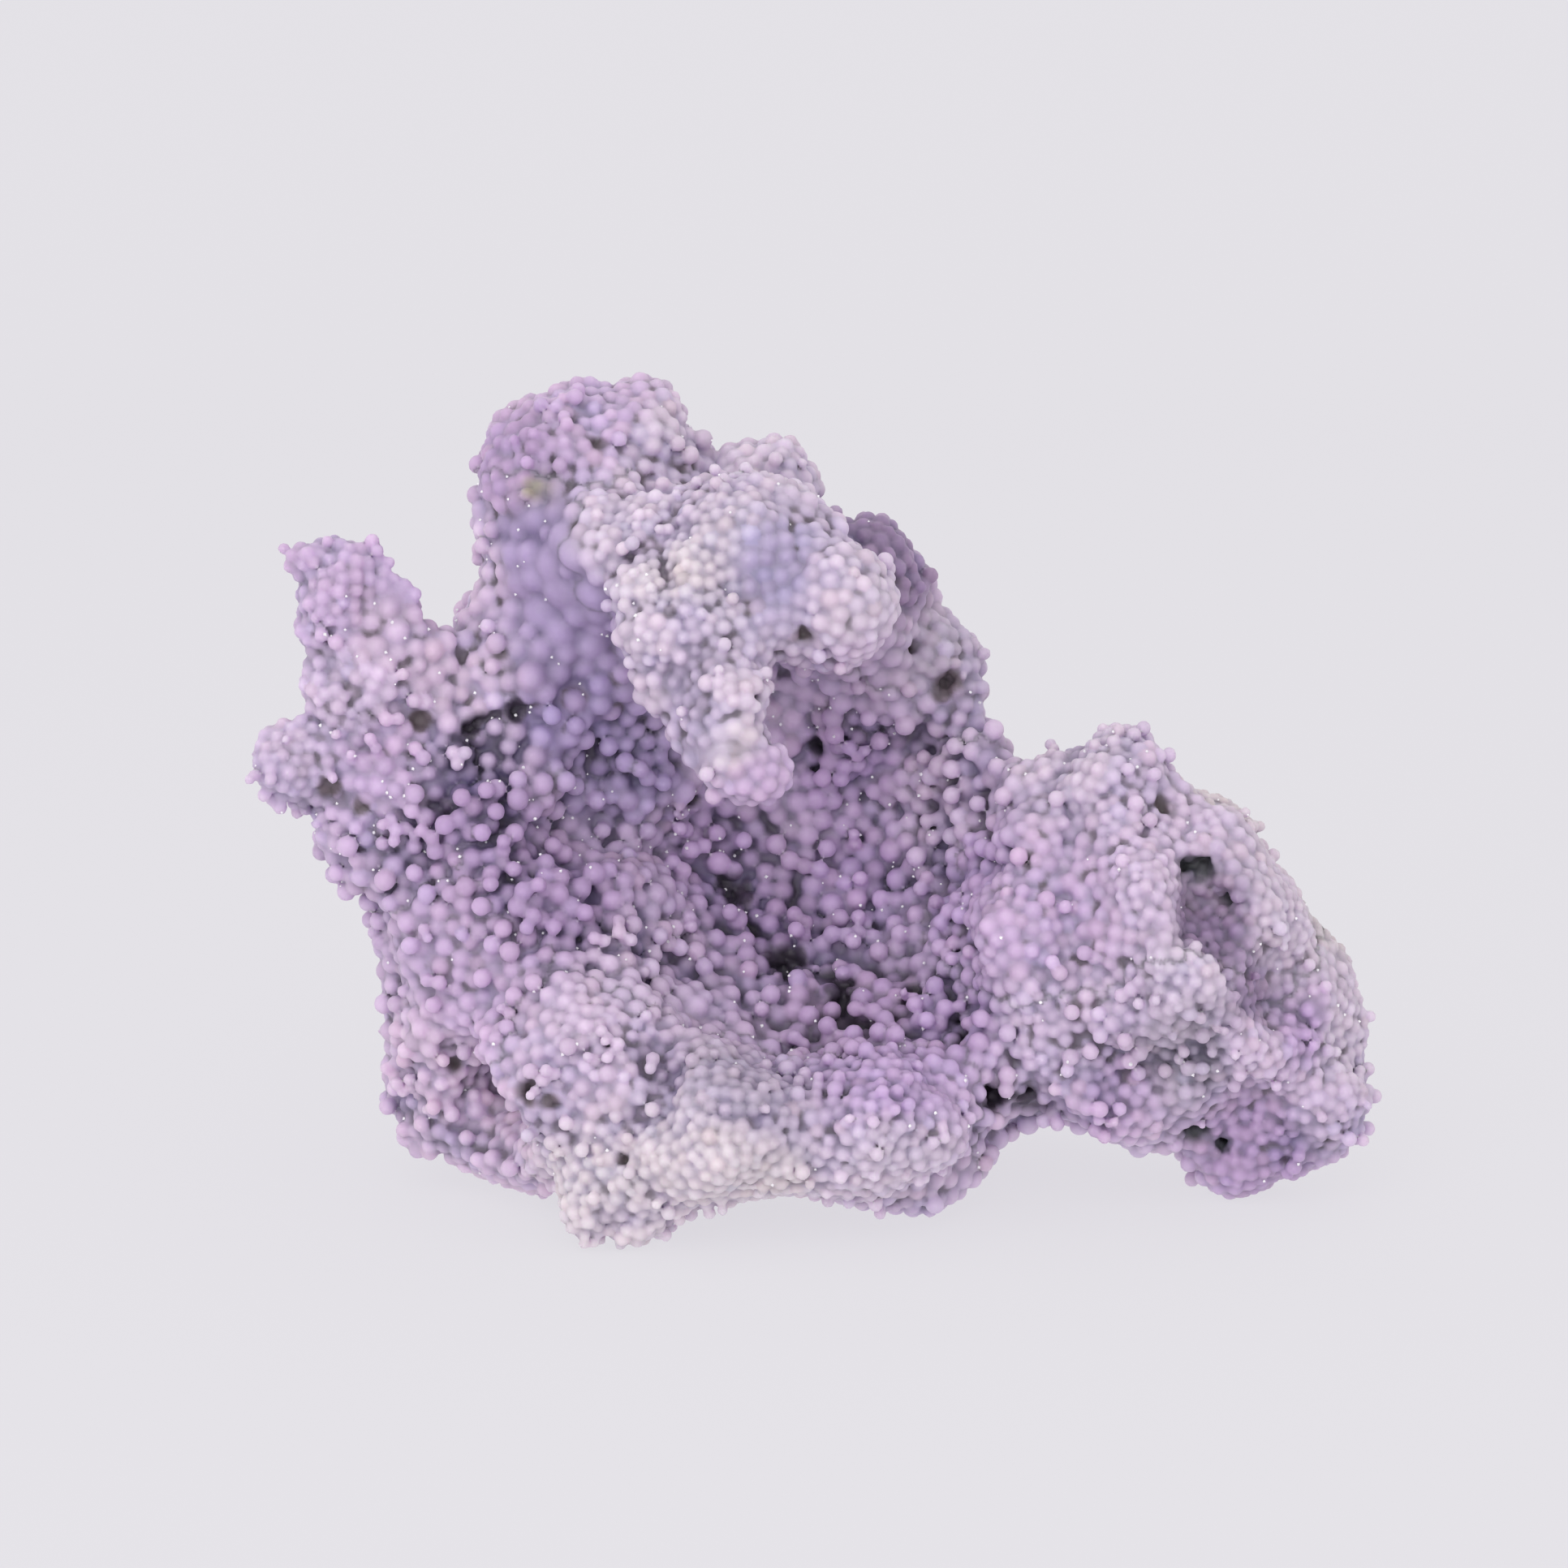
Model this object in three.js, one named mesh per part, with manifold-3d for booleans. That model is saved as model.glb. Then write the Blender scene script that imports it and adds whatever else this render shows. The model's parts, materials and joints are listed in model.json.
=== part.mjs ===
// Botryoidal chalcedony: one crust of grown-together grapes, as it stands on a table.
// Millimetres, +Z up, +X to the viewer's right and -Y towards the viewer.
// The origin is on the table, under the middle of the specimen's box.
import * as THREE from 'three';
import { MarchingCubes } from 'three/addons/objects/MarchingCubes.js';
import { mergeVertices } from 'three/addons/utils/BufferGeometryUtils.js';
import Module from 'manifold-3d';

const wasm = await Module();
wasm.setup();

// Driving sizes
const FACET = 3; // side of a cell of the space that the crust is shaped in
const SPACE = { middle: new THREE.Vector3(0, 6, 43), side: 138 }; // the cube that is shaped
const BLEND = 3.5; // how far neighbouring masses run into each other
const HOLLOW_BLEND = 5; // how far the edge of a hollow is rounded
const CLUSTER_PITCH = 8; // distance between neighbouring clusters of grapes
const CLUSTER_RISE = 3.6; // how far a cluster stands out of the dip beside it
const SWELL_PITCH = 16; // distance between the broad swellings of the crust
const SWELL_RISE = 2.4; // how far a broad swelling stands out
const CELL_ROUNDING = 9; // how crisply one cluster meets the next
const TABLE_SLAB = 20; // thickness of the slab that trims the feet flat
const COLOUR = '#b9a3cb';

// One rounded mass: its centre, its three radii, and its lean in degrees about X, Y and Z
function lump(centre, radii, lean = [0, 0, 0]) {
  const turn = new THREE.Quaternion().setFromEuler(new THREE.Euler(...lean.map(THREE.MathUtils.degToRad)));
  return { centre: new THREE.Vector3(...centre), radii: new THREE.Vector3(...radii), unturn: turn.invert() };
}

// The mass behind the open hollow, which joins everything
const BACK = [
  lump([-8, 22, 44], [24, 13, 28]),
  lump([-17, 18, 19], [27, 16, 21]),
  lump([17, 13, 25], [17, 14, 17]),
  lump([-27, 13, 50], [12, 12, 24]),
  lump([-24, 28, 30], [12, 9, 13]),
  lump([-2, 29, 26], [13, 9, 11]),
  lump([5, 27, 46], [10, 9, 12]),
  lump([8, 16, 53], [11, 9, 13]),
  lump([-14, 28, 56], [12, 9, 10], [20, 0, 0]),
  lump([24, 18, 16], [12, 12, 10]),
  lump([39, 11, 24], [13, 11, 13]),
  lump([-8, 23, 8], [15, 13, 11]),
];

// The highest part and the ridge that falls from it to the right
const CROWN = [
  lump([-24, 8, 75.5], [11.5, 12, 10.5]),
  lump([-18.2, 8, 81], [5.6, 7, 6]),
  lump([-10.8, 8, 76.5], [3.4, 5, 4.6]),
  lump([-6.2, 8, 69.5], [9.2, 12, 9.5]),
  lump([-3.7, 8, 78], [3, 4, 3.6]),
  lump([4, 8, 63.5], [8.8, 10, 9.3]),
  lump([18, 8, 44.5], [5.6, 8, 6]),
];

// The left side of the hollow
const LEFT_WALL = [
  lump([-28, 6, 68], [7, 9, 13.5]),
  lump([-22, 6.5, 62], [11, 9, 13]),
  lump([-29.5, 5, 53], [11, 11, 14]),
  lump([-21, 11, 53], [13, 12, 19]),
  lump([-37, 0, 45], [12.5, 10, 11]),
  lump([-44, 0, 39.6], [8.8, 8.5, 8.5]),
  lump([-38.1, 0, 32], [11.5, 11, 10.5]),
  lump([-37.6, 0, 22], [9, 10, 9.5]),
  lump([-36.6, 2, 11], [10.6, 11, 9.5]),
  lump([-30.5, -4, 6], [6.5, 8, 5.5]),
];

// The floor of the hollow and its front ledge
const BOWL = [
  lump([-25, -2, 28], [15, 12, 12]),
  lump([-22, -12, 16], [13, 11, 12]),
  lump([-10, -17, 13], [14, 11, 9.5]),
  lump([4.5, -15, 13], [13, 11, 9]),
  lump([14, -7, 11], [7, 9, 8]),
  lump([-8, 4, 21], [18, 14, 11]),
  lump([7, 2, 20], [14, 13, 11]),
  lump([-20.5, -17.6, 4.5], [6.8, 6.2, 5.6]),
  lump([10, -12, 4.5], [6.5, 6.5, 5.5]),
  lump([22, -1, 11.6], [6, 8, 5.7]),
];

// The big lobe on the right, with the ridge that crosses it
const RIGHT_LOBE = [
  lump([20, -2, 29], [10.5, 12, 15]),
  lump([24.5, 0, 42.4], [4.5, 6, 5.2]),
  lump([36, -1, 25], [18, 15, 18]),
  lump([32, 0, 43.8], [6.8, 8.5, 7.7]),
  lump([38.5, 0, 36], [9.5, 12, 9.5]),
  lump([41.4, 0, 30], [9.1, 11, 9.3]),
  lump([49, 0, 21.6], [8.6, 11, 11.6]),
  lump([52, 0, 11.5], [8.7, 10, 8.7]),
  lump([57.4, -1, 15], [3.6, 4.5, 4.4]),
  lump([54.4, 0, 8], [5.4, 6, 4.8]),
  lump([47, 2, 5.4], [9.2, 9.5, 6.6]),
  lump([36, -2, 11.4], [6, 7, 5.5]),
  lump([30, -8, 19], [11.5, 9, 10]),
  lump([39, -12, 28], [5.5, 7, 15], [0, -35, 0]),
];

// What the open hollow and the smaller pits take away
const HOLLOW = [
  lump([0, -14, 45], [19, 22, 15]),
  lump([-20, -17, 52], [15, 12, 14]),
  lump([-15, -19, 39], [15, 13, 13]),
  lump([-3, -11, 34], [14, 17, 12.5]),
  lump([7, -8, 36], [10, 15, 13]),
];
const PITS = [
  lump([41.5, -13, 33.5], [2.6, 6, 2.6]),
  lump([50, -11, 27], [3, 5, 4.5]),
  lump([36, -18, 15], [5, 5, 3]),
  lump([-34, -10, 12], [4.5, 6, 2.5]),
  lump([-21.5, -5, 78], [3.5, 3, 2.5]),
];

// The brow that hangs over the hollow, and the tongue that hangs from it
const BROW = [
  lump([-18.5, -2, 70], [10, 9, 7.5]),
  lump([-8.3, -5, 70], [12.5, 10, 8.7]),
  lump([1, -8, 66], [9, 10, 8.5]),
];
const TONGUE = [
  lump([-13.4, -12, 62.7], [8, 7, 8]),
  lump([-10, -15, 57], [7.2, 6.5, 6.5]),
  lump([-8.3, -17, 52.4], [6, 5.5, 5.5]),
  lump([-5.7, -18, 49.5], [4.5, 4, 3.5]),
];

// The horn at the far left with its spur, the knob under it, and the beads along the right ridge
const HORN = [
  lump([-46.5, -3, 54.5], [7, 6, 7.5]),
  lump([-49.3, -3, 62.5], [5.2, 4.8, 8]),
  lump([-51.4, -3, 69.6], [3.5, 3.4, 3.6]),
  lump([-47, -3, 69.9], [3, 3.2, 3.1]),
  lump([-43.2, -3, 67.2], [5.8, 2.5, 2.1], [0, -22, 0]),
  lump([-41.5, -2, 60.5], [5.4, 4, 4.5]),
];
const KNOB = [
  lump([-55.8, -6, 48], [4.1, 4.2, 4.8]),
  lump([-51.5, -4, 46.5], [5, 4.5, 4]),
];
const RIDGE_BEADS = [
  lump([7.2, 12, 69.6], [3.1, 3.5, 3.5]),
  lump([11, 12, 64.4], [3.9, 4.5, 4.1]),
  lump([15.4, 12, 55.6], [4, 5.5, 4.9]),
  lump([16.6, 11, 51.5], [3.2, 5, 4.4]),
];

// A number from 0 to 1 that depends only on a whole-numbered cell and a salt
function scatter(x, y, z, salt) {
  let h = Math.imul(x, 374761393) ^ Math.imul(y, 668265263) ^ Math.imul(z, 2147483647) ^ Math.imul(salt, 1274126177);
  h = Math.imul(h ^ (h >>> 13), 1103515245);
  h = Math.imul(h ^ (h >>> 16), 2246822519);
  return ((h ^ (h >>> 15)) >>> 0) / 4294967296;
}

// Rounded cells: about 1 at the middle of a cluster, falling to about 0 between clusters
function clusters(point, pitch) {
  const [x, y, z] = point.toArray().map((part) => part / pitch);
  const cell = [x, y, z].map(Math.floor);
  let closeness = 0;
  for (let i = cell[0] - 1; i <= cell[0] + 1; i++) {
    for (let j = cell[1] - 1; j <= cell[1] + 1; j++) {
      for (let k = cell[2] - 1; k <= cell[2] + 1; k++) {
        const dx = x - i - scatter(i, j, k, 1);
        const dy = y - j - scatter(i, j, k, 2);
        const dz = z - k - scatter(i, j, k, 3);
        closeness += Math.exp(-CELL_ROUNDING * (dx * dx + dy * dy + dz * dz));
      }
    }
  }
  return 1 + Math.log(closeness) / CELL_ROUNDING;
}

// How far the crust stands out of, or back from, its plain surface at a point
function relief(point) {
  const cluster = clusters(point, CLUSTER_PITCH) - 0.78;
  const swell = clusters(point, SWELL_PITCH) - 0.75;
  return CLUSTER_RISE * cluster + SWELL_RISE * swell;
}

// About how far a point is from a lump's surface, negative inside
const offset = new THREE.Vector3();
const scaled = new THREE.Vector3();
function distance({ centre, radii, unturn }, point) {
  offset.subVectors(point, centre).applyQuaternion(unturn).divide(radii);
  scaled.copy(offset).divide(radii);
  const reach = offset.length();
  return reach < 1e-6 ? -Math.min(...radii.toArray()) : (reach * (reach - 1)) / scaled.length();
}

// The lower of two distances, rounded over a width where they are close
function softMin(a, b, width) {
  const overlap = Math.max(width - Math.abs(a - b), 0) / width;
  return Math.min(a, b) - (overlap * overlap * width) / 4;
}

function distanceToAll(lumps, point, width = BLEND) {
  return lumps.reduce((least, one) => softMin(least, distance(one, point), width), Infinity);
}

const MASSES = [...BACK, ...CROWN, ...LEFT_WALL, ...BOWL, ...RIGHT_LOBE];
const HUNG = [...BROW, ...TONGUE];
const FINE = [...HORN, ...KNOB, ...RIDGE_BEADS];

// About how far a point is from the crust: the masses less the hollow, then what hangs or stands out of them
function distanceToCrust(point) {
  const bumps = relief(point);
  const open = softMin(distanceToAll(HOLLOW, point, HOLLOW_BLEND), distanceToAll(PITS, point), 1);
  const bulk = -softMin(-distanceToAll(MASSES, point), open, HOLLOW_BLEND) - bumps;
  const hung = distanceToAll(HUNG, point) - bumps * 0.7;
  const fine = distanceToAll(FINE, point) - bumps * 0.3;
  return softMin(softMin(bulk, hung, BLEND), fine, BLEND);
}

// The crust's skin, drawn through the cells where the distance changes sign
function crustGeometry() {
  const cells = Math.round(SPACE.side / FACET);
  const cubes = new MarchingCubes(cells, new THREE.MeshStandardMaterial(), false, false, 40000);
  const half = SPACE.side / 2;
  const point = new THREE.Vector3();
  const least = FACET / 12;
  cubes.isolation = 0;
  for (let z = 0; z < cells; z++) {
    for (let y = 0; y < cells; y++) {
      for (let x = 0; x < cells; x++) {
        point.set(x, y, z).multiplyScalar(2 / cells).addScalar(-1).multiplyScalar(half).add(SPACE.middle);
        const depth = -distanceToCrust(point);
        cubes.field[x + cells * (y + cells * z)] = Math.abs(depth) < least ? Math.sign(depth || 1) * least : depth;
      }
    }
  }
  cubes.update();
  const corners = cubes.positionArray.slice(0, cubes.count * 3);
  const geometry = new THREE.BufferGeometry();
  geometry.setAttribute('position', new THREE.BufferAttribute(corners, 3));
  return geometry.scale(half, half, half).translate(...SPACE.middle.toArray());
}

// A closed geometry as a solid that can be joined and cut
function toSolid(geometry) {
  geometry.deleteAttribute('normal');
  geometry.deleteAttribute('uv');
  const merged = mergeVertices(geometry, 1e-3);
  return new wasm.Manifold(new wasm.Mesh({
    numProp: 3,
    vertProperties: new Float32Array(merged.attributes.position.array),
    triVerts: new Uint32Array(merged.index.array),
  }));
}

// Everything below the table, which trims the feet to the small flats that the specimen stands on
function belowTable() {
  return toSolid(new THREE.BoxGeometry(300, 300, TABLE_SLAB).translate(0, 0, -TABLE_SLAB / 2));
}

// The solid as a named mesh, moved so that the origin is under the middle of its box
function meshOf(solid, name) {
  const { vertProperties, triVerts } = solid.getMesh();
  const geometry = new THREE.BufferGeometry();
  geometry.setAttribute('position', new THREE.BufferAttribute(vertProperties, 3));
  geometry.setIndex(new THREE.BufferAttribute(triVerts, 1));
  geometry.computeBoundingBox();
  const middle = geometry.boundingBox.getCenter(new THREE.Vector3());
  geometry.translate(-middle.x, -middle.y, 0);
  geometry.computeVertexNormals();
  const material = new THREE.MeshStandardMaterial({ color: COLOUR, roughness: 0.45, metalness: 0 });
  const mesh = new THREE.Mesh(geometry, material);
  mesh.name = name;
  return mesh;
}

const specimen = new THREE.Group();
specimen.add(meshOf(toSolid(crustGeometry()).subtract(belowTable()), 'chalcedony'));

export default specimen;
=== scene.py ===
"""Botryoidal chalcedony specimen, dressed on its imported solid.

The crust is grown the way the real one looks. A skin lies a little inside the solid's faces, round
grapes grow over it zone by zone, and skin and grapes melt into one surface, patch by patch. Sizes are
in millimetres unless a name says otherwise. Blender works in metres.
"""

import json
import logging
import math
from dataclasses import dataclass, field
from enum import Enum

import bpy
import numpy as np
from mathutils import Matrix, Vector
from mathutils.bvhtree import BVHTree
from mathutils.kdtree import KDTree

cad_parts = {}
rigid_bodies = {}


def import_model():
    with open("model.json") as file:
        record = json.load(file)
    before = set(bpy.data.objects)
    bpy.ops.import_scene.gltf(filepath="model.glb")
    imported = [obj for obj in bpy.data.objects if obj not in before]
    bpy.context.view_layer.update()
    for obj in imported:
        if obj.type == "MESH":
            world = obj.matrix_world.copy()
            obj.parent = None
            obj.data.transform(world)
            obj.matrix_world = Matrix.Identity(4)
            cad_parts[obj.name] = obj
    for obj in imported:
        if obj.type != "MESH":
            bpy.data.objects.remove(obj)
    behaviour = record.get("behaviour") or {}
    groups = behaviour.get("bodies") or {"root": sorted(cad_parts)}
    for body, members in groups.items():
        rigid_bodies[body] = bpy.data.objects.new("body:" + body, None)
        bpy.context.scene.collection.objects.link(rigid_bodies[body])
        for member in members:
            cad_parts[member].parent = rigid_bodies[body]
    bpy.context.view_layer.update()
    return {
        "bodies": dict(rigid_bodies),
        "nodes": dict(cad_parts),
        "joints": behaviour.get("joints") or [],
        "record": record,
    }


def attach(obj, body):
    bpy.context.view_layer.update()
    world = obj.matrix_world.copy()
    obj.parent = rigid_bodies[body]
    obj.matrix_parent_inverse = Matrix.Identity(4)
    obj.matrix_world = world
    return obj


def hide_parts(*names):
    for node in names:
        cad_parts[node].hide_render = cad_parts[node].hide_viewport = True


LOG = logging.getLogger("chalcedony")
MM = 0.001
SEED = 20
NODE = "chalcedony"

# How a zone's weight falls with the distance from its middle: how flat it is there, and how steep outside.
ZONE_CORE = 0.03
ZONE_FALL = 2.5

# The room that the skin leaves for grapes, in radii of at most the limit: below all, and for stacked ones.
ROOM_LIMIT = 1.1
ROOM_BELOW = 0.58
ROOM_FOR_STACKS = 1.2

Place = tuple[float, float, float]
Pair = tuple[float, float]
Filled = dict[tuple[int, int, int], list[tuple[float, float, float, float]]]


class Tint(Enum):
    """The crust's colours, as display colours from 0 to 255. Some serve as painted shade, two as painted
    light.
    """

    CREAM = (214, 203, 210)
    PALE_LILAC = (208, 194, 211)
    PINK_LILAC = (210, 189, 211)
    LILAC = (206, 188, 211)
    BLUE_LILAC = (174, 162, 193)
    MAUVE = (198, 175, 206)
    VIOLET = (192, 168, 205)
    BLUE_VIOLET = (174, 157, 193)
    # Pale beige painted on the lobe's rim as rim light.
    SAND_RIM_LIGHT = (206, 194, 198)
    SMOKE = (184, 172, 190)
    HEATHER = (180, 156, 191)
    PLUM = (150, 130, 160)
    # Colours for between the grapes: the matrix's own, also painted as shade in valleys and between grapes.
    HAZE = (184, 170, 200)
    DUSK = (142, 127, 166)
    INDIGO = (100, 90, 130)
    SLATE = (92, 88, 114)
    MOSS = (148, 143, 126)
    # Dark brown, partly the matrix's own, painted as the shade of small holes and of pits.
    UMBER_SHADE = (100, 88, 92)
    # Dark grey painted as shadow in the lobe's pits and along the line under it.
    SHADOW_GREY = (74, 76, 80)
    # Near-black painted as shade in the deepest gaps and pits.
    SHADE_BLACK = (58, 50, 64)
    # Near-white painted on the tiny crystals as glints.
    GLINT_WHITE = (250, 249, 252)

    def linear(self) -> np.ndarray:
        """Returns the colour as linear light."""
        share = np.array(self.value, float) / 255.0
        return np.where(share <= 0.04045, share / 12.92, ((share + 0.055) / 1.055) ** 2.4)


@dataclass(frozen=True)
class Zone:
    """A place on the crust where grapes share a size, a crowding and a colour.

    Args:
        at: the zone's middle.
        reach: how far it is felt.
        tint: the colour of its grapes.
        grape: the radius of its grapes.
        cover: the share of the skin that grapes cover.
        stack: the share of grapes that carry another one.
        gap: the colour deep between its grapes, the matrix's own colour and painted shade.
        melt: how widely its grapes run into each other, as a share of their radius.
        relief: how deep the creases between its lumps are.
    """

    at: Place
    reach: float
    tint: Tint
    grape: float = 0.9
    cover: float = 0.97
    stack: float = 0.2
    gap: Tint = Tint.HAZE
    melt: float = 0.46
    relief: float = 1.6


@dataclass(frozen=True)
class Pit:
    """A dark hole between the grapes, uneven at its walls.

    Args:
        at: the pit's mouth.
        width: its radius.
        depth: how far its floor lies behind its mouth.
        tint: the colour inside it, its own dark colour and painted shade, stronger deeper down.
    """

    at: Place
    width: float
    depth: float = 3.0
    tint: Tint = Tint.UMBER_SHADE

    def reaches(self, points: np.ndarray) -> np.ndarray:
        """Returns whether each point is near enough for the pit to matter."""
        away = ((points - np.array(self.at, float)) ** 2).sum(axis=1)
        return away < (self.depth + self.width * 2.0 + 1.0) ** 2

    def bite(self, points: np.ndarray, solid: "Field") -> np.ndarray:
        """Measures how deep inside the pit points lie.

        Args:
            points: the points.
            solid: signed distances to the solid's faces.

        Returns:
            The distance to the pit's wall, positive inside the pit.
        """
        mouth = np.array([self.at], float)
        inward = -solid.outward(mouth)[0]
        from_mouth = points - mouth
        along = np.clip(from_mouth @ inward, -self.width, self.depth)
        away = np.linalg.norm(from_mouth - along[:, None] * inward, axis=1)
        return self.width * (0.85 + 0.7 * ripple(points, 1.7, 7)) - away


def scramble(cells: np.ndarray, salt: int) -> np.ndarray:
    """Gives each whole-numbered cell its own number from 0 to 1.

    Args:
        cells: whole-numbered cells, one row each.
        salt: a number that picks another set.

    Returns:
        One number per cell.
    """
    mixed = cells[:, 0] * 73856093 ^ cells[:, 1] * 19349663 ^ cells[:, 2] * 83492791 ^ salt * 2654435761
    mixed = (mixed & 0xFFFFFFFF) * 1274126177 & 0xFFFFFFFF
    mixed = (mixed ^ (mixed >> 15)) * 2246822519 & 0xFFFFFFFF
    return (mixed ^ (mixed >> 13)) / 4294967296.0


def ripple(points: np.ndarray, pitch: float, salt: int) -> np.ndarray:
    """Smooth unevenness in space.

    Args:
        points: where it is read, one row each.
        pitch: the distance between its bumps.
        salt: a number that picks another pattern.

    Returns:
        A number from -1 to 1 for each point.
    """
    scaled = points / pitch
    cells = np.floor(scaled).astype(np.int64)
    ease = scaled - cells
    ease = ease * ease * (3.0 - 2.0 * ease)
    total = np.zeros(len(points))
    for corner in np.ndindex(2, 2, 2):
        share = np.prod(np.where(np.array(corner) == 1, ease, 1.0 - ease), axis=1)
        total += share * scramble(cells + np.array(corner), salt)
    return total * 2.0 - 1.0


def creases(points: np.ndarray, pitch: float, salt: int) -> np.ndarray:
    """Narrow creases around rounded lumps that fill space.

    Args:
        points: where they are read, one row each.
        pitch: the distance between two lumps' middles.
        salt: a number that picks another pattern.

    Returns:
        A number for each point, from 0 well inside a lump to 1 in a crease.
    """
    scaled = points / pitch
    cells = np.floor(scaled).astype(np.int64)
    nearest = np.full(len(points), 9.0)
    second = np.full(len(points), 9.0)
    for offset in np.ndindex(3, 3, 3):
        cell = cells + np.array(offset) - 1
        middle = cell + np.stack([scramble(cell, salt + axis) for axis in range(3)], axis=1)
        away = np.linalg.norm(scaled - middle, axis=1)
        second = np.minimum(second, np.maximum(away, nearest))
        nearest = np.minimum(nearest, away)
    return np.clip(1.0 - (second - nearest) / 0.42, 0.0, 1.0)


def ramp(values: np.ndarray, start: float, full: float) -> np.ndarray:
    """Returns 0 up to the start and 1 from the full value on, which may be the smaller one."""
    return np.clip((values - start) / (full - start), 0.0, 1.0)


def mesh_of(name: str, points: np.ndarray, faces: np.ndarray) -> bpy.types.Mesh:
    """Makes a smooth-shaded mesh in metres from arrays in millimetres.

    Args:
        name: the mesh's name.
        points: its corners.
        faces: the corner numbers of each face, all with as many corners.

    Returns:
        The new mesh.
    """
    sides = faces.shape[1]
    mesh = bpy.data.meshes.new(name)
    mesh.vertices.add(len(points))
    mesh.vertices.foreach_set("co", (points * MM).astype(np.float32).ravel())
    mesh.loops.add(faces.size)
    mesh.loops.foreach_set("vertex_index", faces.astype(np.int32).ravel())
    mesh.polygons.add(len(faces))
    mesh.polygons.foreach_set("loop_start", np.arange(0, faces.size, sides, dtype=np.int32))
    mesh.polygons.foreach_set("use_smooth", np.ones(len(faces), bool))
    mesh.update(calc_edges=True)
    return mesh


def place(name: str, mesh: bpy.types.Mesh) -> bpy.types.Object:
    """Puts a mesh into the scene as an object of the same name."""
    made = bpy.data.objects.new(name, mesh)
    bpy.context.scene.collection.objects.link(made)
    return made


@dataclass
class Surface:
    """A mesh of four-cornered faces as plain arrays.

    Args:
        points: its corners, one row each.
        faces: four corner numbers for each face.
    """

    points: np.ndarray
    faces: np.ndarray

    def soften(self, share: float) -> None:
        """Moves each corner towards its neighbours' middle by a share of the way."""
        pairs = np.concatenate([self.faces[:, [i, (i + 1) % 4]] for i in range(4)])
        ends = pairs.ravel()
        others = pairs[:, ::-1].ravel()
        count = len(self.points)
        neighbours = np.maximum(np.bincount(ends, minlength=count), 1)
        middle = np.stack([np.bincount(ends, self.points[others, i], count) for i in range(3)], axis=1)
        self.points += (middle / neighbours[:, None] - self.points) * share

    def scatter(self, density: float, chance: np.random.Generator) -> np.ndarray:
        """Picks spots all over the surface.

        Args:
            density: spots per square millimetre.
            chance: where the luck comes from.

        Returns:
            The spots, one row each.
        """
        a, b, c, d = (self.points[self.faces[:, i]] for i in range(4))
        areas = np.linalg.norm(np.cross(c - a, d - b), axis=1) / 2.0
        count = int(areas.sum() * density)
        picked = np.searchsorted(np.cumsum(areas) / areas.sum(), chance.random(count))
        u, v = chance.random((2, count, 1))
        front = a[picked] * (1 - u) + b[picked] * u
        return front * (1 - v) + (d[picked] * (1 - u) + c[picked] * u) * v


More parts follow.
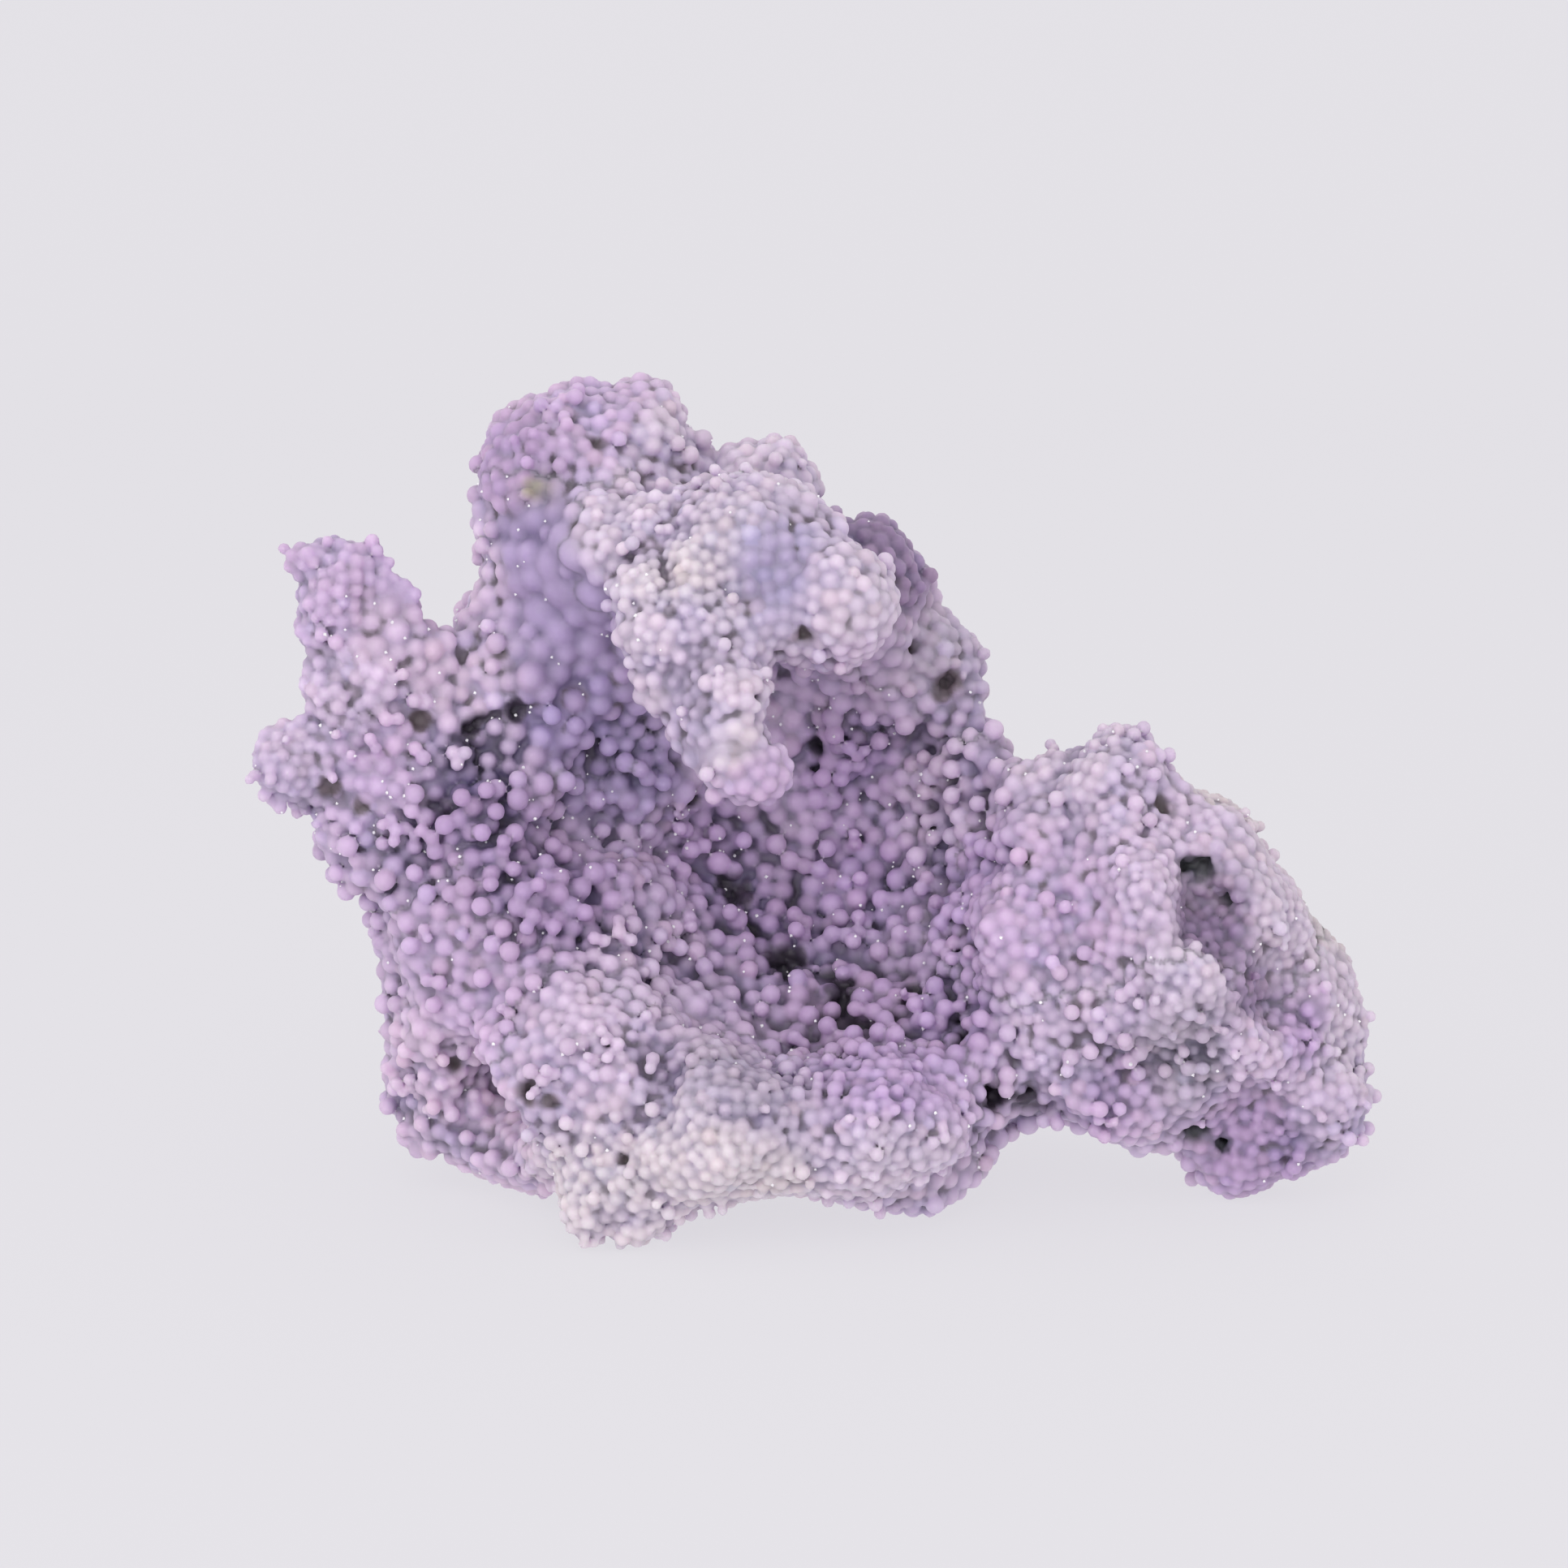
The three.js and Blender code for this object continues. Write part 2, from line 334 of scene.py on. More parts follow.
@dataclass
class Field:
    """Signed distances on a regular grid, negative inside.

    Args:
        corner: the grid's lowest corner.
        pitch: the distance between its points.
        values: a distance for each point.
    """

    corner: np.ndarray
    pitch: float
    values: np.ndarray

    def points(self) -> np.ndarray:
        """Returns the places of all the grid's points, in the order of its values."""
        axes = [self.corner[i] + np.arange(self.values.shape[i]) * self.pitch for i in range(3)]
        return np.stack(np.meshgrid(*axes, indexing="ij"), axis=-1).reshape(-1, 3)

    def sample(self, points: np.ndarray) -> np.ndarray:
        """Returns the distance at any points, blended from the grid's."""
        at = (points - self.corner) / self.pitch
        base = np.clip(np.floor(at).astype(int), 0, np.array(self.values.shape) - 2)
        share = np.clip(at - base, 0.0, 1.0)
        total = np.zeros(len(points))
        for corner in np.ndindex(2, 2, 2):
            weight = np.prod(np.where(np.array(corner) == 1, share, 1.0 - share), axis=1)
            x, y, z = (base + np.array(corner)).T
            total += weight * self.values[x, y, z]
        return total

    def outward(self, points: np.ndarray) -> np.ndarray:
        """Returns the direction in which the distance grows at each point."""
        steps = np.eye(3) * self.pitch
        slope = np.stack([self.sample(points + step) - self.sample(points - step) for step in steps], axis=1)
        return slope / np.maximum(np.linalg.norm(slope, axis=1), 1e-9)[:, None]

    def refined(self, lowest: np.ndarray, highest: np.ndarray, pitch: float) -> "Field":
        """Makes a finer grid of a part of this one, smoothly blended.

        Args:
            lowest: the part's lowest corner.
            highest: its highest corner.
            pitch: the finer grid's pitch.

        Returns:
            The finer grid.
        """
        values = self.values
        for axis in range(3):
            count = int(math.ceil((highest[axis] - lowest[axis]) / pitch)) + 1
            at = (lowest[axis] + np.arange(count) * pitch - self.corner[axis]) / self.pitch
            base = np.floor(at).astype(int)
            t = at - base
            taps = ((1 - t) ** 3, 3 * t**3 - 6 * t**2 + 4, -3 * t**3 + 3 * t**2 + 3 * t + 1, t**3)
            shape = [1, 1, 1]
            shape[axis] = count
            total = 0.0
            for offset, tap in zip((-1, 0, 1, 2), taps):
                rows = np.clip(base + offset, 0, self.values.shape[axis] - 1)
                weight = (tap / 6.0).reshape(shape).astype(np.float32)
                total = total + np.take(values, rows, axis=axis) * weight
            values = total
        return Field(np.array(lowest, float), pitch, values)

    def melt_in(self, middle: np.ndarray, radius: float, melt: float) -> None:
        """Melts a ball into the field.

        Args:
            middle: the ball's middle.
            radius: its radius.
            melt: how widely it runs into what is there.
        """
        half = radius + melt + self.pitch
        low = np.maximum(np.ceil((middle - half - self.corner) / self.pitch).astype(int), 0)
        high = np.floor((middle + half - self.corner) / self.pitch).astype(int) + 1
        if (high <= low).any():
            return
        near = self.values[low[0] : high[0], low[1] : high[1], low[2] : high[2]]
        if near.size == 0:
            return
        x, y, z = (
            (self.corner[i] + np.arange(low[i], low[i] + near.shape[i]) * self.pitch - middle[i]) ** 2
            for i in range(3)
        )
        away = np.sqrt(x[:, None, None] + y[None, :, None] + z[None, None, :]) - radius
        blend = np.maximum(melt - np.abs(away - near), 0.0)
        near[...] = np.minimum(away, near) - blend * blend / (4.0 * melt)

    def fullness(self, radius: float) -> "Field":
        """Returns how much of the space around each point is filled, from 0 to 1."""
        filled = (self.values < 0.0).astype(np.float32)
        reach = max(1, int(round(radius / self.pitch)))
        for axis in range(3):
            for _ in range(2):
                first = np.take(filled, [0] * (reach + 1), axis)
                last = np.take(filled, [-1] * reach, axis)
                padded = np.concatenate([first, filled, last], axis=axis)
                sums = np.cumsum(padded, axis=axis, dtype=np.float64)
                ahead = np.take(sums, np.arange(2 * reach + 1, sums.shape[axis]), axis)
                behind = np.take(sums, np.arange(0, sums.shape[axis] - 2 * reach - 1), axis)
                filled = ((ahead - behind) / (2 * reach + 1)).astype(np.float32)
        return Field(self.corner, self.pitch, filled)

    def fill_voids(self, outside: "Field", steps: int) -> None:
        """Fills the empty space that can't be reached from outside.

        Args:
            outside: signed distances to the solid's faces.
            steps: how many grid steps deep a way in may lead.
        """
        empty = self.values >= 0.0
        farthest = self.corner + (np.array(self.values.shape) - 1.2) * self.pitch
        reached = empty & (outside.refined(self.corner, farthest, self.pitch).values > -0.2)
        for _ in range(steps):
            grown = reached.copy()
            for axis in range(3):
                ahead, behind = [slice(None)] * 3, [slice(None)] * 3
                ahead[axis], behind[axis] = slice(1, None), slice(None, -1)
                grown[tuple(ahead)] |= reached[tuple(behind)]
                grown[tuple(behind)] |= reached[tuple(ahead)]
            reached = grown & empty
        self.values[empty & ~reached] = -0.05

    def surface(self) -> Surface:
        """Returns the surface where the distance is nought, with one corner in each cell that it crosses."""
        values = self.values
        inside = values < 0.0
        shape = np.array(values.shape) - 1
        corners = list(np.ndindex(2, 2, 2))

        def cut(array: np.ndarray, corner: tuple[int, ...]) -> np.ndarray:
            """Returns the array's part that starts at one corner of every cell."""
            return array[tuple(slice(corner[i], corner[i] + shape[i]) for i in range(3))]

        filled = sum(cut(inside, corner).astype(np.uint8) for corner in corners)
        cells = np.argwhere((filled > 0) & (filled < 8))
        numbers = np.full(shape, -1, np.int64)
        numbers[tuple(cells.T)] = np.arange(len(cells))
        at_corner = {corner: values[tuple((cells + np.array(corner)).T)] for corner in corners}
        crossing = np.zeros((len(cells), 3))
        count = np.zeros(len(cells))
        for corner in corners:
            for axis in range(3):
                if corner[axis]:
                    continue
                other = tuple(1 if i == axis else corner[i] for i in range(3))
                a, b = at_corner[corner], at_corner[other]
                crossed = (a < 0.0) != (b < 0.0)
                share = np.where(crossed, a / np.where(crossed, a - b, 1.0), 0.0)
                spot = np.array(corner, float)[None] + np.eye(3)[axis][None] * share[:, None]
                crossing += spot * crossed[:, None]
                count += crossed
        points = self.corner + (cells + crossing / count[:, None]) * self.pitch
        faces = []
        for axis in range(3):
            u, v = (axis + 1) % 3, (axis + 2) % 3
            start = np.argwhere(np.diff(inside, axis=axis))
            for side in (u, v):
                start = start[(start[:, side] > 0) & (start[:, side] < shape[side])]
            back_u, back_v = np.eye(3, dtype=int)[u], np.eye(3, dtype=int)[v]
            ring = [start - back_u - back_v, start - back_v, start, start - back_u]
            quads = np.stack([numbers[tuple(cell.T)] for cell in ring], axis=1)
            outwards = inside[tuple(start.T)]
            faces.append(np.where(outwards[:, None], quads, quads[:, ::-1]))
        return Surface(points, np.concatenate(faces))


@dataclass
class Growth:
    """What the zones ask for at a set of points.

    Args:
        grape: the grapes' radius at each point.
        cover: the share of the skin that grapes cover.
        stack: the share of grapes that carry another one.
        melt: how widely grapes run into each other.
        relief: how deep the valleys are.
        tint: the grapes' colour.
        gap: the colour deep between them, the matrix's own colour and painted shade.
    """

    grape: np.ndarray
    cover: np.ndarray
    stack: np.ndarray
    melt: np.ndarray
    relief: np.ndarray
    tint: np.ndarray
    gap: np.ndarray

    @classmethod
    def at(cls, points: np.ndarray, zones: list[Zone]) -> "Growth":
        """Blends the zones at each point by how near they are.

        Args:
            points: where the zones are read.
            zones: all zones.

        Returns:
            The blended values.
        """
        totals = np.zeros((len(points), 11))
        weights = np.full(len(points), 1e-9)
        for zone in zones:
            away = ((points - np.array(zone.at, float)) ** 2).sum(axis=1) / zone.reach**2
            weight = 1.0 / (ZONE_CORE + away) ** ZONE_FALL
            sizes = [zone.grape, zone.cover, zone.stack, zone.melt, zone.relief]
            totals += weight[:, None] * np.array([*sizes, *zone.tint.linear(), *zone.gap.linear()])
            weights += weight
        totals /= weights[:, None]
        return cls(*totals[:, :5].T, totals[:, 5:8], totals[:, 8:])

    def inset(self) -> np.ndarray:
        """Returns how far the skin lies inside the solid's faces, to leave room for the grapes."""
        return np.minimum(self.grape, ROOM_LIMIT) * (ROOM_BELOW + ROOM_FOR_STACKS * self.stack)

    def valley(self, depth: np.ndarray) -> np.ndarray:
        """Returns how far down the valleys points lie, from 0 on the lumps to 1, by their depth."""
        return np.clip((depth - self.inset() * 0.9) / (self.relief * 0.9), 0.0, 1.0)


@dataclass
class Grapes:
    """The round grapes of the crust.

    Args:
        middles: their middles.
        radii: their radii.
        ways: the direction in which each grows.
        melts: how widely each runs into its neighbours.
        owners: the number of the patch that each belongs to.
    """

    middles: np.ndarray
    radii: np.ndarray
    ways: np.ndarray
    melts: np.ndarray
    owners: np.ndarray = field(default_factory=lambda: np.zeros(0, int))

    def chosen(self, numbers: np.ndarray) -> "Grapes":
        """Returns only the chosen grapes."""
        owners = self.owners[numbers] if len(self.owners) else self.owners
        kept = (part[numbers] for part in (self.middles, self.radii, self.ways, self.melts))
        return Grapes(*kept, owners)

    def joined(self, other: "Grapes") -> "Grapes":
        """Returns these grapes followed by others."""
        pairs = zip(
            (self.middles, self.radii, self.ways, self.melts, self.owners),
            (other.middles, other.radii, other.ways, other.melts, other.owners),
        )
        return Grapes(*(np.concatenate(pair) for pair in pairs))


@dataclass
class Vineyard:
    """Grows the grapes on the skin.

    Args:
        tries: how many places are tried per square millimetre of skin.
        spacing: the least distance of two grapes, as a share of their radii's sum.
        uneven: how much smaller and larger than their zone's size grapes may be.
        least: the smallest grapes' radius.
        sunk: how high a grape's middle stands over the skin, as a share of its radius.
        clump: the pitch of the clumps that grapes leave gaps between.
        proud: how far grapes may stand out of the solid's faces.
        headroom: how high over the skin tops may be, as a share of the room and what is added.
        bare: how strongly grapes avoid the valleys where the cover is thin.
        fine: the squared radius up to which every place is tried.
        storeys: how many layers of grapes may pile up.
        pips: how many grapes each grape may carry.
        tilt: how far those lean to the side, in degrees.
        pip: their radii, as a share of the radius below.
        pip_limit: the largest that they may be.
        seat: the distance to the middle below, as shares of the radius below and of their own.
        pip_melt: how widely they run into others, as a share of their radius.
        pit_grape: how grapes in a pit shrink, and the largest that they may be.
    """

    tries: float = 16.0
    spacing: float = 0.79
    uneven: Pair = (0.76, 1.14)
    least: float = 0.46
    sunk: float = 0.3
    clump: float = 3.0
    proud: float = 0.5
    headroom: Pair = (0.7, 0.36)
    bare: float = 1.5
    fine: float = 0.36
    storeys: int = 4
    pips: int = 3
    tilt: Pair = (20.0, 85.0)
    pip: Pair = (0.86, 1.08)
    pip_limit: Pair = (0.95, 1.25)
    seat: Pair = (0.9, 0.72)
    pip_melt: float = 0.12
    pit_grape: Pair = (0.6, 0.6)

    def grow(self, solid: Field, skin: Field, zones: list[Zone], pits: list[Pit]) -> Grapes:
        """Grows all grapes.

        Args:
            solid: the solid's own faces.
            skin: the skin that they grow on.
            zones: what each place asks for.
            pits: the holes, in which only small ones grow.

        Returns:
            The grapes.
        """
        chance = np.random.default_rng(SEED)
        filled: Filled = {}
        layer = self.first_layer(solid, skin, zones, chance)
        for pit in pits:
            bitten = pit.bite(layer.middles, solid) > -layer.radii * 0.45
            share, largest = self.pit_grape
            layer.radii[bitten] = np.clip(layer.radii[bitten] * share, self.least, largest)
        layer = self.fitting(layer, solid, filled)
        LOG.info("grapes on the skin: %d", len(layer.radii))
        grown = layer
        for _ in range(self.storeys - 1):
            layer = self.next_layer(layer, zones, chance)
            for pit in pits:
                layer = layer.chosen(np.flatnonzero(pit.bite(layer.middles, solid) < -layer.radii * 0.7))
            layer = self.fitting(layer, solid, filled)
            grown = grown.joined(layer)
        LOG.info("grapes in all: %d", len(grown.radii))
        return grown

    def openness(self, points: np.ndarray) -> np.ndarray:
        """Returns a number from 0 in the clumps to 1 in the gaps between them."""
        coarse = 0.5 + 0.75 * ripple(points, self.clump, 5)
        fine = 0.5 + 0.75 * ripple(points, self.clump * 0.45, 6)
        return np.clip(coarse * 0.65 + fine * 0.35, 0.0, 1.0)

    def first_layer(
        self, solid: Field, skin: Field, zones: list[Zone], chance: np.random.Generator
    ) -> Grapes:
        """Returns more grapes on the skin than have room, the larger ones first.

        Args:
            solid: the solid's own faces.
            skin: the skin that they grow on.
            zones: what each place asks for.
            chance: where the luck comes from.

        Returns:
            The grapes.
        """
        spots = skin.surface().scatter(self.tries, chance)
        growth = Growth.at(spots, zones)
        bare = growth.valley(-solid.sample(spots)) * (1.0 - growth.cover) * self.bare
        wanted = self.openness(spots) < growth.cover - bare
        wanted &= chance.random(len(spots)) * growth.grape**2 < self.fine
        spots = spots[wanted]
        radii = np.maximum(growth.grape[wanted] * chance.uniform(*self.uneven, len(spots)), self.least)
        ways = skin.outward(spots)
        share, added = self.headroom
        lift = np.minimum(radii * self.sunk, growth.inset()[wanted] * share - radii + added)
        grapes = Grapes(spots + ways * lift[:, None], radii, ways, growth.melt[wanted] * radii)
        rank = np.round(radii / growth.grape[wanted] * 4.0) + chance.random(len(spots)) * 0.9
        return grapes.chosen(np.argsort(-rank))

    def next_layer(self, below: Grapes, zones: list[Zone], chance: np.random.Generator) -> Grapes:
        """Returns grapes that lean out from some of those below."""
        growth = Growth.at(below.middles, zones)
        likely = growth.stack * np.clip((growth.cover - self.openness(below.middles)) * 4.0, 0.3, 1.0)
        rolls = [chance.random(len(below.radii)) < likely for _ in range(self.pips)]
        base = np.concatenate([np.flatnonzero(roll) for roll in rolls])
        lean = chance.normal(size=(len(base), 3))
        lean -= (lean * below.ways[base]).sum(axis=1)[:, None] * below.ways[base]
        lean /= np.linalg.norm(lean, axis=1)[:, None]
        tilt = np.radians(chance.uniform(*self.tilt, len(base)))[:, None]
        way = below.ways[base] * np.cos(tilt) + lean * np.sin(tilt)
        largest = chance.uniform(*self.pip_limit, len(base))
        radii = np.clip(below.radii[base] * chance.uniform(*self.pip, len(base)), self.least, largest)
        reach = below.radii[base] * self.seat[0] + radii * self.seat[1]
        ways = below.ways[base] * 0.7 + way * 0.3
        ways /= np.linalg.norm(ways, axis=1)[:, None]
        return Grapes(below.middles[base] + way * reach[:, None], radii, ways, radii * self.pip_melt)

    def fitting(self, grapes: Grapes, solid: Field, filled: Filled) -> Grapes:
        """Keeps the grapes that have room.

        Args:
            grapes: the grapes, those that go first at the front.
            solid: the solid's own faces, which they hardly pass.
            filled: the grapes that are there already, by cell. The kept ones are added.

        Returns:
            The grapes that stay.
        """
        inside = -solid.sample(grapes.middles)
        fits = (inside > grapes.radii - self.proud) & (grapes.middles[:, 2] > grapes.radii + 0.02)
        size = 2.6
        around = list(np.ndindex(3, 3, 3))
        stay = []
        for number in np.flatnonzero(fits):
            x, y, z = (float(value) for value in grapes.middles[number])
            radius = float(grapes.radii[number])
            i, j, k = int(x // size), int(y // size), int(z // size)
            free = True
            for di, dj, dk in around:
                for px, py, pz, other in filled.get((i + di - 1, j + dj - 1, k + dk - 1), ()):
                    limit = (radius + other) * self.spacing
                    if (px - x) ** 2 + (py - y) ** 2 + (pz - z) ** 2 < limit * limit:
                        free = False
                        break
                if not free:
                    break
            if free:
                filled.setdefault((i, j, k), []).append((x, y, z, radius))
                stay.append(number)
        return grapes.chosen(np.array(stay, int))


@dataclass
class Skin:
    """The skin that the grapes grow on, a little inside the solid's faces.

    Args:
        pitch: the grid size on which it is worked out.
        band: how far from the solid's faces it is worked out.
        wander: how far the creases wander, and the pitch at which they do.
        lumps: pitch of its lumps, the wide ones and the narrow ones on them.
        fade: the pitches at which the creases of each come and go.
        share: the depth of the narrow lumps' creases, as a share of the wide ones'.
        table: how high over the table it ends.
    """

    pitch: float = 0.8
    band: float = 6.0
    wander: Pair = (1.6, 4.0)
    lumps: Pair = (7.5, 3.9)
    fade: Pair = (9.0, 6.0)
    share: float = 0.6
    table: float = 0.05

    def solid_field(self, node: bpy.types.Object) -> Field:
        """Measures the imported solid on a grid.

        Args:
            node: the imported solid.

        Returns:
            Signed distances to its faces.
        """
        points = np.array([vertex.co[:] for vertex in node.data.vertices]) / MM
        tree = BVHTree.FromPolygons(points.tolist(), [side.vertices[:] for side in node.data.polygons])
        corner = points.min(axis=0) - self.band
        counts = np.ceil((points.max(axis=0) + self.band - corner) / self.pitch).astype(int) + 1
        grid = Field(corner, self.pitch, np.zeros(counts, np.float32))
        places = grid.points()
        away = np.full(len(places), self.band)
        for number, spot in enumerate(places.tolist()):
            found = tree.find_nearest(spot, self.band)
            if found[3] is not None:
                away[number] = found[3]
        away = away.reshape(counts)
        for i in range(counts[0]):
            for j in range(counts[1]):
                self.mark_inside(tree, grid, away, i, j)
        grid.values = away.astype(np.float32)
        return grid

    def mark_inside(self, tree: BVHTree, grid: Field, away: np.ndarray, i: int, j: int) -> None:
        """Turns the distances inside the solid negative in one column of the grid."""
        x, y = grid.corner[0] + i * grid.pitch + 1e-4, grid.corner[1] + j * grid.pitch + 1.3e-4
        height = grid.corner[2]
        crossings = []
        while True:
            hit = tree.ray_cast((x, y, height), (0.0, 0.0, 1.0))
            if hit[0] is None:
                break
            crossings.append(hit[0].z)
            height = hit[0].z + 1e-4
        for low, high in zip(crossings[::2], crossings[1::2]):
            first = math.ceil((low - grid.corner[2]) / grid.pitch)
            last = math.floor((high - grid.corner[2]) / grid.pitch)
            away[i, j, first : last + 1] *= -1.0

    def build(self, solid: Field, zones: list[Zone], pits: list[Pit]) -> Field:
        """Makes the skin from the solid's distances.

        Args:
            solid: signed distances to the solid's faces.
            zones: what each place asks for.
            pits: the holes that are bitten out of it.

        Returns:
            Signed distances to the skin.
        """
        places = solid.points()
        values = solid.values.ravel().astype(float)
        near = np.abs(values) < self.band - 0.1
        spots = places[near]
        growth = Growth.at(spots, zones)
        far, pitch = self.wander
        warped = spots + far * np.stack([ripple(spots, pitch, salt) for salt in (1, 2, 3)], axis=1)
        wide = creases(warped, self.lumps[0], 11)
        wide *= np.clip(0.75 + ripple(spots, self.fade[0], 4), 0.1, 1.0)
        narrow = creases(warped, self.lumps[1], 21)
        narrow *= np.clip(0.6 + 1.2 * ripple(spots, self.fade[1], 8), 0.0, 1.0)
        skin = values[near] + growth.inset() + growth.relief * (wide + narrow * self.share)
        for pit in pits:
            close = pit.reaches(spots)
            skin[close] = np.maximum(skin[close], pit.bite(spots[close], solid))
        values[near] = np.maximum(skin, self.table - spots[:, 2])
        return Field(solid.corner, solid.pitch, values.reshape(solid.values.shape).astype(np.float32))


@dataclass
class CrustPatch:
    """A part of the crust: its name, where it lies, and the zones and pits in it.

    Args:
        name: the piece's name.
        grid: the grid size of its surface.
        anchors: points that its grapes are nearest to.
        zones: the zones that belong to it.
        pits: the pits that belong to it.
        margin: how far past its grapes its grid reaches.
        ways_in: how many grid steps deep an opening may lead before it is filled.
        smooth: how far each corner moves towards its neighbours' middle.
    """

    name: str = ""
    grid: float = 0.3
    anchors: tuple[Place, ...] = ()
    zones: tuple[Zone, ...] = ()
    pits: tuple[Pit, ...] = ()
    margin: float = 3.5
    ways_in: int = 24
    smooth: float = 0.35

    def build(self, crust: "Crust", number: int) -> bpy.types.Object:
        """Builds the patch's mesh and dresses it.

        Args:
            crust: the crust with all its grapes.
            number: the patch's own number in it.

        Returns:
            The finished piece.
        """
        grapes = crust.grapes
        own = grapes.middles[grapes.owners == number]
        lowest, highest = own.min(axis=0) - self.margin, own.max(axis=0) + self.margin
        grid = crust.skin.refined(lowest, highest, self.grid)
        reach = (grapes.radii + 1.0)[:, None]
        near = ((grapes.middles + reach > lowest) & (grapes.middles - reach < highest)).all(axis=1)
        for index in np.flatnonzero(near):
            grid.melt_in(grapes.middles[index], float(grapes.radii[index]), float(grapes.melts[index]))
        grid.fill_voids(crust.solid, self.ways_in)
        surface = grid.surface()
        surface.soften(self.smooth)
        nearest = crust.nearest(surface.points)
        mine = (grapes.owners[nearest] == number)[surface.faces].any(axis=1)
        used, corners = np.unique(surface.faces[mine], return_inverse=True)
        points = surface.points[used]
        mesh = mesh_of(f"crust_{self.name}", points, corners.reshape(-1, 4))
        # Colours with painted shade in valleys, gaps and pits, and painted light on the grapes' tops.
        tints_with_painted_light = crust.colours(points, nearest[used], grid)
        colour = mesh.attributes.new("tint", "FLOAT_COLOR", "POINT")
        opaque = np.column_stack([tints_with_painted_light, np.ones(len(tints_with_painted_light))]).astype(np.float32)
        colour.data.foreach_set("color", opaque.ravel())
        mesh.materials.append(ChalcedonyFinish().material())
        return place(mesh.name, mesh)


@dataclass
class Brow(CrustPatch):
    """The pale brow that hangs over the hollow, with its tongue."""

    name: str = "brow"
    grid: float = 0.27
    anchors: tuple[Place, ...] = (
        (-16, -14, 72),
        (-6, -18, 71),
        (2, -18, 67),
        (-12, -22, 63),
        (-8, -24, 55),
        (-5, -25, 50),
    )
    zones: tuple[Zone, ...] = (
        Zone((-18, -15, 74), 6, Tint.PALE_LILAC, 0.7, 0.98, 0.06, relief=1.5),
        Zone((-13, -20, 70), 6, Tint.CREAM, 0.66, 0.99, 0.05, relief=1.5),
        Zone((-4, -20, 70), 4.5, Tint.BLUE_LILAC, 0.85, 0.93, 0.05, Tint.BLUE_LILAC, 0.6, 1.2),
        Zone((3, -22, 67), 6, Tint.PALE_LILAC, 0.84, 0.99, 0.06, relief=1.2),
        Zone((4, -20, 60), 4, Tint.LILAC, 0.88, 0.95, 0.15),
        Zone((-14, -23, 64), 5, Tint.PALE_LILAC, 0.74, 0.98, 0.08, relief=1.5),
        Zone((-10, -27, 59), 5, Tint.PALE_LILAC, 0.78, 0.98, 0.08, relief=1.5),
        Zone((-8, -28, 54), 3, Tint.CREAM, 1.0, 0.6, 0.1, Tint.PALE_LILAC, 0.6, 0.6),
        Zone((-5, -27, 49), 4, Tint.MAUVE, 0.85, 0.95, 0.1, relief=1.2),
    )
    pits: tuple[Pit, ...] = (
        Pit((-5, -25, 58), 0.9, 2.2),
        Pit((-1, -21, 62), 0.9, 2.2),
        Pit((-15, -23, 67), 0.7, 1.8),
        Pit((-12, -25, 65.5), 0.7, 1.8),
        Pit((-9, -24, 70), 0.7, 1.8),
    )


@dataclass
class Crown(CrustPatch):
    """The highest mass behind the brow, and the beaded ridge that falls from it to the right."""

    name: str = "crown"
    grid: float = 0.33
    anchors: tuple[Place, ...] = (
        (-24, 2, 80),
        (-16, 3, 82),
        (-5, 5, 75),
        (6, 6, 68),
        (12, 6, 62),
        (16, 4, 55),
    )
    zones: tuple[Zone, ...] = (
        Zone((-32, -6, 80), 5, Tint.HEATHER, 0.85, 0.97, 0.2, relief=1.4),
        Zone((-22, -3, 85), 6, Tint.MAUVE, 0.85, 0.95, 0.25, relief=1.6),
        Zone((-29, -8, 77), 1.8, Tint.MOSS, 0.7, 0.9, 0.2, Tint.MOSS, relief=1.2),
        Zone((-15, -3, 81), 5, Tint.PALE_LILAC, 0.85, 0.98, 0.15, relief=1.1),
        Zone((-4, -3, 78), 6, Tint.PALE_LILAC, 0.8, 0.98, 0.15, relief=1.2),
        # The beads painted darker, plum over indigo, as painted shade for lying deeper and further back.
        Zone((7, 0, 72), 4, Tint.PLUM, 0.88, 0.92, 0.3, Tint.INDIGO, relief=1.5),
        Zone((11, 0, 67), 4, Tint.PLUM, 0.88, 0.92, 0.3, Tint.INDIGO, relief=1.5),
        Zone((15, 2, 57), 4, Tint.SMOKE, 0.8, 0.92, 0.25, relief=1.6),
    )
    pits: tuple[Pit, ...] = (
        Pit((-22, -6, 81), 1.0, 2.4),
        Pit((14, 1, 54), 1.5, 3.0),
        Pit((11, 1.3, 58), 1.2, 2.6),
        Pit((9, -2, 66), 1.1, 2.6),
    )


